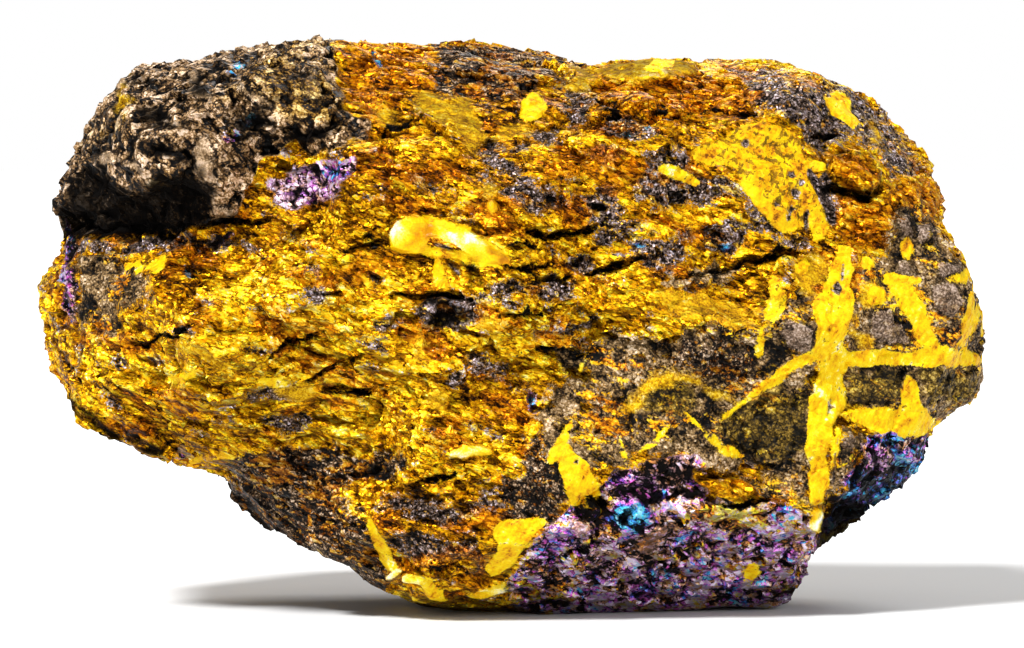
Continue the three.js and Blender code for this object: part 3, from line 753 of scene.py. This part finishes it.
def drawMinerals(mesh):
    facing = facingOf(mesh)[:, 1]
    points = pointsOf(mesh)
    stray = bends(points, rock["wanderOver"], 3)[:, (0, 2)] * rock["wander"]
    drift = bends(points, rock["driftOver"], 2)
    # patches bend only where the rock turns to its sides
    turning = np.clip(np.maximum((points[:, 1] / mm + 4) / 10, (facing + 0.4) / 0.4), 0, 1)
    straight = asSeen(points)
    seen = straight + drift[:, (0, 2)] * (rock["drift"] * turning)[:, None]
    behind = points[:, 1] / mm - rock["farSide"] - rock["ragged"] * drift[:, 1]
    fading = 0.5 * np.maximum(0, behind)  # patches give out slowly behind that line
    for name, (patches, wander) in minerals.items():  # hollows stay where they are, the rest bends
        place = (straight if name == "hollow" else seen) + stray * wander
        depth = depthIn(patches, place) - fading
        if name in backPatches:
            far = points[:, (0, 2)] / mm + stray * wander
            depth = np.maximum(depth, np.minimum(depthIn(backPatches[name], far), behind - 2))
        keepField(mesh, name, np.clip(depth, -rock["deepest"], rock["deepest"]))
    hold = np.zeros(len(points))
    hue = np.full(len(points), 0.5)
    border = 0.4  # mm, how softly a held hue gives out
    for patch, value, firmness in hues:
        depth = patch(seen + stray) - fading
        hold = np.where(depth > -border, firmness * np.clip(0.5 + depth / (2 * border), 0, 1), hold)
        hue[depth > -border] = value
    keepField(mesh, "hue", hue)
    keepField(mesh, "hueHold", hold)


def newTree(name):  # gives the geometry that comes in, and each point's place in mm
    bench.tree = bpy.data.node_groups.new(name, "GeometryNodeTree")
    for way in ("INPUT", "OUTPUT"):
        bench.tree.interface.new_socket("Geometry", in_out=way, socket_type="NodeSocketGeometry")
    place = scaled(put("GeometryNodeInputPosition").outputs["Position"], 1 / mm)
    return put("NodeGroupInput").outputs["Geometry"], place


def finishTree(geometry, fields):  # keeps the fields on the points and closes the tree
    for name, value in fields.items():
        kept = put("GeometryNodeStoreNamedAttribute", {"Geometry": geometry, "Name": name, "Value": value},
                   data_type="FLOAT", domain="POINT")
        geometry = kept.outputs["Geometry"]
    put("NodeGroupOutput", {"Geometry": geometry})
    return bench.tree


def buildRelief():
    start, place = newTree("brokenSurface")
    normal = put("GeometryNodeInputNormal").outputs["Normal"]
    inFront = ease(partOf(normal, "Y"), -0.8, -0.2, 1, 0)
    mask = {name: ease(readField(name), -0.4, 0.4) for name in minerals}

    # each kind of break, in mm: streaky ore, dull plates, crumbs, and smooth worn vein
    grain = alongGrain(place, rock["stretch"])
    ore = total((swell(grain, 2, 5, 4, 0.6, ridged=True), 1.5), (chips(grain, 6.5, 3)["lift"], 0.3),
                (chips(grain, 2.8, 11)["lift"], 0.4), (chips(grain, 1.2, 29)["lift"], 0.6))
    bent = calcVector("MULTIPLY_ADD", swell(place, 3, 43, 3, 0.6), (2.2, 1.6, -2.4), place)
    plates = chips(bent, 2.6, 7)
    crumb = chips(bent, 1.15, 17)["lift"]
    dull = total((swell(place, 6, 9, 3), 1.4), (swell(bent, 1.4, 15, 3, 0.6), 0.25),
                 (plates["lift"], 0.6), (crumb, 0.35))
    crumbs = total((plates["lift"], 0.4), (crumb, 0.6), (swell(place, 1.2, 2, 2), 0.7))
    worn = total((swell(place, 2.5, 31, 3), 0.8), (chips(place, 1.6, 37)["lift"], 0.25))
    height = ore
    for above, how in (
            (dull, mask["boulder"]),
            (crumbs, times(mask["matrix"], 0.8)),
            (calc("SUBTRACT", crumbs, 0.15), times(mask["slate"], 0.8)),
            (times(dull, 0.9), mask["tarnish"]),
            (calc("ADD", worn, 0.1), mask["vein"]),
            (calc("ADD", worn, 0.4), mask["quartz"]),
            (worn, mask["spar"]),
            (calc("ADD", worn, 0.4), mask["facet"])):
        height = blended(height, above, how)

    # the dull stone and the bright grains stand out in front, hollows and cracks go in
    out, into = rock["standsOut"], rock["goesIn"]
    overhang = times(ease(readField("boulder"), -0.5, 3.2, 0, out["boulder"]), inFront)
    sunk = calc("MULTIPLY_ADD", mask["boulder"], rock["deeperInStone"], into["hollow"])
    hollow = times(ease(readField("hollow"), -0.2, 2.4), sunk)
    height = total((height, 1), (overhang, 1), (ease(readField("nodule"), -0.2, 0.7, 0, out["nodule"]), 1),
                   (hollow, -1), (ease(readField("crack"), -0.2, 0.35, 0, into["crack"]), -1),
                   (ease(readField("gap"), -0.3, 0.4, 0, into["gap"]), -1))
    height = times(height, ease(partOf(place, "Z"), 0, rock["footHeight"], 0.1, 1))
    offset = scaled(normal, times(height, mm))
    moved = put("GeometryNodeSetPosition", {"Geometry": start, "Offset": offset}).outputs["Geometry"]

    # how far each point stands out from its surroundings, for painted shade in hollows and painted
    # highlight on crests
    now = put("GeometryNodeInputPosition").outputs["Position"]
    settings = {"Value": now, "Iterations": rock["around"]}
    around = put("GeometryNodeBlurAttribute", settings, data_type="FLOAT_VECTOR").outputs["Value"]
    away = calcVector("SUBTRACT", now, around)
    crest = calc("DIVIDE", calcVector("DOT_PRODUCT", away, normal, result="Value"), mm)
    return finishTree(moved, {"crest": crest, "plate": plates["tone"], "plateRim": plates["rim"]})


def buildMottle():  # the slow patterns that the colours share, kept on the points of the finished net
    start, place = newTree("mottle")
    grain = alongGrain(place, rock["stretch"])
    return finishTree(start, {
        "region": swell(grain, 8, 61, 3, 0.5),
        "redness": swell(grain, 3.6, 77, 3, 0.55),
        "greyness": swell(grain, 2.2, 91, 3, 0.6),
        "blotch": swell(grain, 1.8, 23, 3, 0.6),
        "clot": swell(place, 3, 7, 3, 0.55),
        "swirl": swell(place, 1.6, 13, 3, 0.6),
    })


def useNodes(piece, tree):
    piece.modifiers.new(tree.name, "NODES").node_group = tree
    applyAll(piece)


def breakSurface(piece):
    drawMinerals(piece.data)
    print("minerals drawn")
    useNodes(piece, buildRelief())
    print("surface broken")
    faces = sum(len(polygon.vertices) - 2 for polygon in piece.data.polygons)
    piece.modifiers.new("thin", "DECIMATE").ratio = rock["triangles"] / faces
    applyAll(piece)
    drawMinerals(piece.data)  # once more, now that the points have moved
    useNodes(piece, buildMottle())
    print("thinned to", len(piece.data.polygons), "triangles")


# the sides of the rock laid out flat: the way each faces, across, up, its corner on the sheet,
# and the size of 1 mm
sheet = {
    "front": ((0, -1.2, 0), (1, 0, 0), (0, 0, 1), (0.385, 0.004), 0.0068),
    "back": ((0, 1, 0), (1, 0, 0), (0, 0, 1), (0.74, 0.55), 0.0046),
    "right": ((1, 0, 0), (0, 1, 0), (0, 0, 1), (0.886, 0.004), 0.0039),
    "left": ((-1, 0, 0), (0, 1, 0), (0, 0, 1), (0.886, 0.275), 0.0039),
    "top": ((0, 0, 1), (1, 0, 0), (0, 1, 0), (0.239, 0.592), 0.0042),
    "foot": ((0, 0, -1), (1, 0, 0), (0, 1, 0), (0.239, 0.84), 0.0042),
}


def spreadOnSheet(mesh):  # each face goes to the side it looks to, if it lies on that half of the rock
    points = pointsOf(mesh) / mm
    corners = np.empty(len(mesh.loops), np.int32)
    mesh.loops.foreach_get("vertex_index", corners)
    starts = np.empty(len(mesh.polygons), np.int32)
    mesh.polygons.foreach_get("loop_start", starts)
    first = corners[starts]
    facing = facingOf(mesh)[first]
    outward = points[first] - (0, 0, 30)  # from the middle of the rock
    shares = [np.where(outward @ way > 0, facing @ way, -2) for way, *rest in sheet.values()]
    sides = np.repeat(np.argmax(shares, axis=0), np.diff(np.append(starts, len(corners))))
    spots = np.zeros((len(corners), 2), np.float32)
    for number, (way, across, up, corner, size) in enumerate(sheet.values()):
        chosen = sides == number
        flat = np.stack((points[corners[chosen]] @ across, points[corners[chosen]] @ up), axis=1)
        spots[chosen] = flat * size + corner
    mesh.uv_layers.new(name="OFBake").uv.foreach_set("vector", spots.ravel())
    print("laid out flat:", np.bincount(sides), spots.min(axis=0), spots.max(axis=0))


noise.seed_set(rock["seed"])  # the same rock each run
rockPiece = copyLump()
breakSurface(rockPiece)
spreadOnSheet(rockPiece.data)


ramps = {  # runs of colour: each stop a place from 0 to 1, then red, green and blue from 0 to 255
    # the palest stops at the top of the ore, grey, stone and vein runs are painted glints and highlights
    "ore": [(0, 22, 10, 2), (0.12, 84, 46, 2), (0.31, 168, 108, 4), (0.44, 216, 152, 6),
            (0.57, 242, 188, 12), (0.76, 255, 224, 44), (0.9, 255, 238, 104), (1, 255, 246, 176)],
    "redOre": [(0, 20, 8, 2), (0.12, 62, 28, 2), (0.31, 138, 72, 2), (0.44, 186, 106, 4),
               (0.57, 218, 140, 8), (0.76, 242, 190, 34), (1, 255, 228, 110)],
    "grey": [(0, 3, 2, 2), (0.22, 26, 20, 18), (0.38, 80, 64, 54), (0.54, 122, 103, 92),
             (0.7, 166, 147, 144), (0.86, 214, 198, 212), (1, 250, 244, 255)],
    "rust": [(0, 16, 6, 1), (0.15, 64, 28, 2), (0.32, 140, 72, 2), (0.46, 192, 108, 2),
             (0.62, 226, 146, 5), (0.8, 244, 188, 24), (1, 255, 226, 100)],
    "matrix": [(0, 5, 4, 3), (0.16, 44, 32, 18), (0.34, 98, 74, 44), (0.52, 138, 110, 70),
               (0.72, 180, 150, 110), (1, 236, 214, 184)],
    "slab": [(0, 34, 24, 18), (0.5, 114, 92, 74), (1, 204, 180, 164)],
    "earth": [(0, 2, 1, 1), (0.34, 10, 7, 5), (0.48, 44, 31, 20), (0.62, 98, 74, 50),
              (0.78, 160, 130, 100), (1, 236, 212, 186)],
    "oil": [(0, 12, 9, 3), (0.3, 66, 50, 14), (0.5, 108, 84, 28), (0.7, 150, 120, 46), (1, 214, 184, 96)],
    "stone": [(0, 3, 2, 2), (0.16, 12, 8, 6), (0.3, 60, 42, 25), (0.46, 112, 83, 49), (0.6, 150, 118, 80),
              (0.78, 204, 170, 132), (1, 246, 218, 190)],
    "facet": [(0, 88, 66, 42), (0.5, 160, 132, 98), (1, 244, 212, 180)],
    "ochre": [(0, 6, 4, 2), (0.3, 78, 52, 18), (0.5, 142, 104, 40), (0.7, 196, 154, 70),
              (1, 252, 226, 150)],
    "film": [(0, 226, 128, 12), (0.08, 168, 96, 24), (0.2, 110, 76, 50), (0.34, 144, 106, 88),
             (0.45, 166, 130, 150), (0.53, 106, 66, 118), (0.61, 150, 60, 122), (0.69, 66, 56, 134),
             (0.77, 38, 82, 150), (0.87, 36, 112, 138), (0.95, 124, 180, 182)],
    "spar": [(0, 120, 78, 4), (0.3, 184, 132, 4), (0.55, 222, 174, 10), (0.78, 242, 204, 40),
             (1, 250, 232, 140)],
    "vein": [(0, 120, 66, 2), (0.14, 206, 136, 2), (0.32, 234, 178, 2), (0.48, 240, 198, 2),
             (0.68, 246, 212, 8), (0.82, 250, 226, 60), (1, 255, 248, 200)],
    "pepper": [(0, 20, 10, 1), (0.6, 124, 80, 6), (1, 190, 134, 20)],
    "lens": [(0, 190, 124, 2), (0.32, 230, 174, 4), (0.52, 244, 204, 12), (0.68, 252, 228, 70),
             (0.82, 255, 246, 170), (1, 255, 255, 250)],
}

plain = {  # single colours, red, green and blue from 0 to 255
    "noduleRim": (16, 7, 2),
    "facetRim": (12, 8, 6),
    "veinRim": (58, 36, 8),
    # near black, painted as shadow into the hollows and the cracks
    "hollow": (4, 2, 1),
}

surface = {
    "metal": 0.75,          # of the ore; the other minerals are below
    "metalOf": {"matrix": 0.2, "earth": 0.2, "oil": 0.1, "boulder": 0.3, "tarnish": 0.55,
                "spar": 0, "vein": 0, "quartz": 0},
    "roughness": (0.3, 0.5),  # of the ore's flakes, from the glossiest to the dullest
    "roughnessOf": {"matrix": 0.55, "boulder": 0.42, "spar": 0.85, "vein": 0.6, "quartz": 0.3, "hollow": 1},
    "tiltOf": {"matrix": 0.7, "vein": 0.15, "quartz": 0.12},  # how far flakes lean, against 1 in the ore
    "specular": 0.12,
    "bump": (0.5, 0.12),    # strength, and height in mm
    "brightest": (0.86, 0.74, 0.94),  # the tarnish stops here
}

edges = {  # how a mineral's edge breaks up: stray, softness, and how far it follows the streaks
    "boulder": (0.5,),
    "matrix": (1.6, 0.2, 3),
    "slate": (1.5, 0.15, 3),
    "earth": (2, 0.3, 3),
    "tarnish": (0.8, 0.15, 0.5),
    "rust": (1.6, 0.5, 2),
    "nodule": (0.2,),
    "oil": (1.4, 0.6),
    "spar": (0.9, 0.5),
    "vein": (0.5, 0.1),
    "quartz": (0.2, 0.12),
    "facet": (0.4, 0.12),
    "gap": (0.2, 0.12),
    "crack": (0.7, 0.15, 2),
}


def paint(red, green, blue):  # made linear for the shader
    parts = [part / 255 for part in (red, green, blue)]
    return [part / 12.92 if part <= 0.04045 else ((part + 0.055) / 1.055) ** 2.4 for part in parts] + [1]


def shades(name, value):  # a value turned into a run of colours
    node = put("ShaderNodeValToRGB", {"Fac": value})
    marks = node.color_ramp.elements
    while len(marks) < len(ramps[name]):
        marks.new(1)
    for mark, (position, *colour) in zip(marks, ramps[name]):
        mark.position = position
        mark.color = paint(*colour)
    return node.outputs["Color"]


def centred(value):
    return calc("SUBTRACT", value, 0.5)


def tone(*parts):  # a sum of patterns round a middle of one half
    return calc("ADD", total(*parts), 0.5)


def nearEdge(value, near, far, strength):  # strong where a value is nought, gone when it is far from it
    return ease(calc("ABSOLUTE", value), near, far, strength, 0)


def findPatterns():  # the patterns that the minerals share
    at = SimpleNamespace()
    at.place = scaled(put("ShaderNodeTexCoord").outputs["Object"], 1 / mm)
    at.normal = put("ShaderNodeNewGeometry").outputs["Normal"]
    for name in ("crest", "region", "redness", "greyness", "blotch", "clot", "swirl"):
        setattr(at, name, readField(name))
    at.plate = centred(readField("plate"))
    at.speckle = swell(at.place, 0.24, 3, 2, 0.6)
    # painted highlight and shade: added to the tones below, it makes crests lighter and hollows darker
    at.relief = ease(at.crest, -0.25, 0.25, -0.5, 0.5)
    at.streak = swell(alongGrain(at.place, 2.6), 0.8, 17, 3, 0.62)
    at.on = {}
    for name, (stray, *rest) in edges.items():
        at.on[name] = edgeOf(at, name, stray, *rest)
    at.gilded = ease(readField("gilded"), -1.2, 1.4)
    # lighter and darker places: partly own colour, partly painted highlight and painted shade
    at.glow = ease(readField("glow"), -3, 3)
    at.dusk = ease(readField("dusk"), -2, 2)

    # broken flakes: drawn out along the grain in ore, rounder elsewhere
    lay = alongGrain(at.place, 2.3)
    lay = turnedTo(lay, at.place, calc("MAXIMUM", at.on["matrix"], at.on["slate"]))
    lay = turnedTo(lay, scaled(at.place, 0.62), calc("MAXIMUM", at.on["boulder"], at.on["tarnish"]))
    # bent, so that no flake is a neat cell
    lay = calcVector("MULTIPLY_ADD", at.streak, (1.2, 0.8, -1), lay)
    at.fleck = chips(lay, 0.3, 41)
    at.flake = chips(lay, 0.72, 53)
    at.fleckTone, at.fleckPick = (centred(at.fleck[name]) for name in ("tone", "pick"))
    at.flakeTone, at.flakePick = (centred(at.flake[name]) for name in ("tone", "pick"))
    at.seam = ease(at.fleck["rim"], 0.4, 0.75)
    at.openness = ease(at.crest, -0.3, -0.04)  # painted crevice shade: nought deep in a crevice, where the colours below are darkened, one in the open
    at.border = ease(total((readField("plateRim"), 1), (at.speckle, 0.3)), 0.5, 0.75)
    at.grit = total((at.fleckTone, 1), (at.flakeTone, 0.7), (at.relief, 0.4), (at.seam, -0.45),
                    (at.speckle, 1.3))
    at.level = partOf(at.normal, "Z")
    at.upward = ease(at.level, 0.3, 1, 1, 0.38)  # painted shade: faces turned up are darkened, so that under the lights from above they don't go white
    return at


def edgeOf(at, name, stray, soft=0.15, along=0):  # how far a place belongs to a mineral
    parts = (readField(name), 1), (at.blotch, stray * 4), (at.speckle, stray * 1.2), (at.streak, along)
    return ease(total(*parts), -soft, soft)


def oreColours(at):  # gold ore with reddish and grey drifts, slate, rust and the bright grains
    hairline = ease(calc("ABSOLUTE", calc("ADD", at.streak, 0.03)), 0.004, 0.03, 0.2, 1)
    oreTone = tone((at.grit, 0.4), (at.streak, 0.9), (at.region, 0.45), (at.glow, 0.1), (at.dusk, -0.1))
    at.redOre = shades("redOre", oreTone)
    at.ore = laid(shades("ore", oreTone), at.redOre, ease(at.redness, 0.02, 0.12))
    # the dark hairlines, and painted shade in the crevices of the ore
    at.ore = scaled(at.ore, times(hairline, ease(at.openness, 0, 1, 0.6, 1.12)))
    at.greyTone = tone((at.grit, 0.5), (at.speckle, 0.8), (at.swirl, 0.5), (at.dusk, -0.06))
    at.grey = shades("grey", at.greyTone)
    greySpots = ease(total((at.greyness, 1), (at.speckle, 0.3), (at.streak, 0.3)), 0.11, 0.14)
    at.thread = ease(total((at.streak, 1), (at.redness, 0.5), (at.speckle, 0.25), (at.gilded, 0.09)),
                     0.08, 0.13)
    grains = ease(total((at.fleck["pick"], 1), (at.gilded, 0.12)), 0.9, 0.94)
    at.goldIn = calc("MAXIMUM", at.thread, times(grains, 0.8))
    # painted shade in the crevices of the slate
    slate = scaled(at.grey, ease(at.openness, 0, 1, 0.2, 1))
    slate = laid(slate, at.ore, times(at.goldIn, 0.6))
    colour = laid(at.ore, slate, calc("MAXIMUM", greySpots, at.on["slate"]))
    rust = shades("rust", tone((at.grit, 0.4), (at.streak, 0.9), (at.redness, 0.5)))
    colour = laid(colour, scaled(rust, hairline), times(at.on["rust"], 0.85))
    colour = laid(colour, laid(at.ore, rust, 0.4), at.on["nodule"])
    ring = nearEdge(total((readField("nodule"), 1), (at.speckle, 0.6)), 0.08, 0.36, 0.5)
    return laid(colour, paint(*plain["noduleRim"]), ring)


def groundColours(at, colour):  # matrix, earth and olive, each with gold running through it
    matrixTone = tone((at.grit, 0.5), (at.speckle, 0.7), (at.blotch, 0.5), (at.plate, 0.34),
                      (at.border, -0.36), (at.dusk, -0.08))
    sparse = ease(total((at.redness, 1), (at.gilded, 0.16)), -0.07, 0.07)
    sparse = times(at.goldIn, sparse)
    slab = shades("slab", tone((at.speckle, 1.6), (at.streak, 1.2), (at.clot, 1), (at.grit, 0.25)))
    matrix = laid(shades("matrix", matrixTone), at.ore, sparse)
    matrix = laid(matrix, slab, times(at.on["facet"], 0.9))
    colour = laid(colour, matrix, at.on["matrix"])
    earth = shades("earth", tone((at.grit, 0.5), (at.speckle, 0.8)))
    earth = laid(earth, at.redOre, times(at.goldIn, 0.6))
    colour = laid(colour, earth, at.on["earth"])
    oil = laid(shades("oil", matrixTone), at.ore, times(sparse, 0.4))
    return laid(colour, oil, at.on["oil"])


def stoneColours(at, colour):  # the dull stone, with pale facets and black pits: partly dark tone, partly painted shade in the crevices
    stoneTone = tone((at.grit, 0.6), (at.flakeTone, 0.25), (at.clot, 0.8), (at.plate, 0.2),
                     (at.border, -0.26), (at.speckle, 0.7))
    facet = shades("facet", tone((at.speckle, 1.8), (at.streak, 1.6), (at.clot, 1.2)))
    stone = laid(shades("stone", stoneTone), facet, times(at.on["facet"], 0.85))
    isOchre = times(at.gilded, ease(total((at.redness, 1), (at.speckle, 0.6)), -0.1, 0.1))
    stone = laid(stone, shades("ochre", stoneTone), isOchre)
    # painted shade in the crevices: the stone goes nearly black there
    stone = scaled(stone, ease(at.openness, 0, 1, 0.06, 1.08))
    return laid(colour, stone, at.on["boulder"])


def tarnishColours(at, colour):  # many hues side by side over brown, with black between: dark joints, and painted shade in the crevices
    anyHue = tone((at.fleckTone, 0.5), (at.flakeTone, 0.5), (at.swirl, 1), (at.clot, 1))
    anyHue = calc("SUBTRACT", anyHue, 0.1)
    heldHue = total((readField("hue"), 1), (at.fleckTone, 0.2))
    film = shades("film", blended(anyHue, heldHue, readField("hueHold")))
    # the tarnish's brightness: its own lighter and darker flakes, partly painted glints where single flakes
    # run pale
    bright = total((at.fleckPick, 1.1), (at.relief, 0.5), (at.speckle, 2.2), (at.flakePick, 0.9),
                   (at.seam, -0.4), (at.blotch, 1.5), (at.plate, 0.7), (at.border, -0.5), (at.dusk, -0.8),
                   (at.glow, 0.6))
    shade = calc("MULTIPLY_ADD", calc("POWER", 6, bright), 4.5, -1.05)
    # painted shade in the crevices of the tarnish
    shade = times(shade, ease(at.openness, 0, 1, 0.06, 1.1))
    shade = blended(shade, 1.2, times(at.on["facet"], 0.75))
    film = scaled(film, calc("MAXIMUM", shade, 0.01))
    film = calcVector("MINIMUM", film, surface["brightest"])
    # painted shade on faces turned up
    return laid(colour, scaled(film, at.upward), at.on["tarnish"])


def veinColours(at, colour):  # pale spar, yellow veins with rims and dark grains, and the white lens
    spar = shades("spar", tone((at.swirl, 1.2), (at.grit, 0.4), (at.speckle, 0.6)))
    # painted shade on faces turned up
    colour = laid(colour, scaled(spar, at.upward), at.on["spar"])
    rim = times(edgeOf(at, "vein", 0.5, 0.3), 0.5)
    colour = laid(colour, paint(*plain["veinRim"]), rim)
    peppered = ease(readField("speckled"), -0.5, 1)
    fibre = swell(alongGrain(at.place, 2.4, 62), 0.5, 51, 3, 0.55)
    vein = shades("vein", tone((at.swirl, 1.7), (fibre, 1.1), (at.grit, 0.2), (at.glow, 0.25),
                               (peppered, -0.1)))
    pepper = total((fibre, 0.7), (peppered, 0.14), (at.speckle, 0.3), (at.flake["rim"], 0.3),
                   (at.swirl, 0.5))
    vein = laid(vein, shades("pepper", at.greyTone), ease(pepper, 0.31, 0.39, 0, 0.9))
    colour = laid(colour, scaled(vein, 0.93), at.on["vein"])
    colour = laid(colour, scaled(at.grey, 0.8), at.on["gap"])
    lens = shades("lens", tone((at.clot, 1), (at.speckle, 0.5), (at.relief, 0.3), (at.swirl, 1.4),
                               (at.glow, 0.7), (at.dusk, -0.4), (0.24, -1)))
    # painted shade on faces turned up
    return laid(colour, scaled(lens, at.upward), at.on["quartz"])


def overAll(at, level, amounts):  # a level for the ore, and another for each mineral named
    for name, amount in amounts.items():
        level = blended(level, amount, at.on[name])
    return level


def paintRock():
    material = bpy.data.materials.new("chalcopyriteOre")
    material.use_nodes = True
    bench.tree = material.node_tree
    shader = bench.tree.nodes["Principled BSDF"]
    at = findPatterns()
    colour = oreColours(at)
    colour = groundColours(at, colour)
    colour = stoneColours(at, colour)
    colour = tarnishColours(at, colour)
    facetEdge = total((readField("facet"), 1), (at.blotch, 1.6), (at.speckle, 0.8), (0.2, 1))
    colour = laid(colour, paint(*plain["facetRim"]), nearEdge(facetEdge, 0.05, 0.26, 0.7))
    colour = scaled(colour, ease(at.level, -0.95, -0.2, 0.35, 1))  # painted shade: faces turned down are darkened, to about a third at the lowest
    colour = veinColours(at, colour)
    # painted shadow: near black laid into the hollows and the cracks
    at.on["hollow"] = calc("SUBTRACT", edgeOf(at, "hollow", 1.1, 0.45), times(at.thread, 0.1))
    for how in (times(at.on["hollow"], 0.97), at.on["crack"]):
        colour = laid(colour, paint(*plain["hollow"]), how)

    gloss = ease(at.flake["tone"], 0, 1, *surface["roughness"])
    shader.inputs["Specular IOR Level"].default_value = surface["specular"]
    slope = calcVector("ADD", scaled(at.fleck["slope"], 0.8), scaled(at.flake["slope"], 0.6))
    slope = scaled(slope, overAll(at, 1, surface["tiltOf"]))
    tilted = calcVector("NORMALIZE", calcVector("ADD", at.normal, slope))
    strength, height = surface["bump"]
    bumped = put("ShaderNodeBump", {"Strength": strength, "Distance": height * mm, "Height": at.speckle,
                                    "Normal": tilted})
    for name, value in (
            ("Base Color", colour),
            ("Metallic", overAll(at, surface["metal"], surface["metalOf"])),
            ("Roughness", overAll(at, gloss, surface["roughnessOf"])),
            ("Normal", bumped.outputs["Normal"])):
        bench.tree.links.new(value, shader.inputs[name])
    print("rock painted:", len(bench.tree.nodes), "nodes")
    return material


rockPiece.data.materials.append(paintRock())

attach(rockPiece, "root")
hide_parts(lumpName)
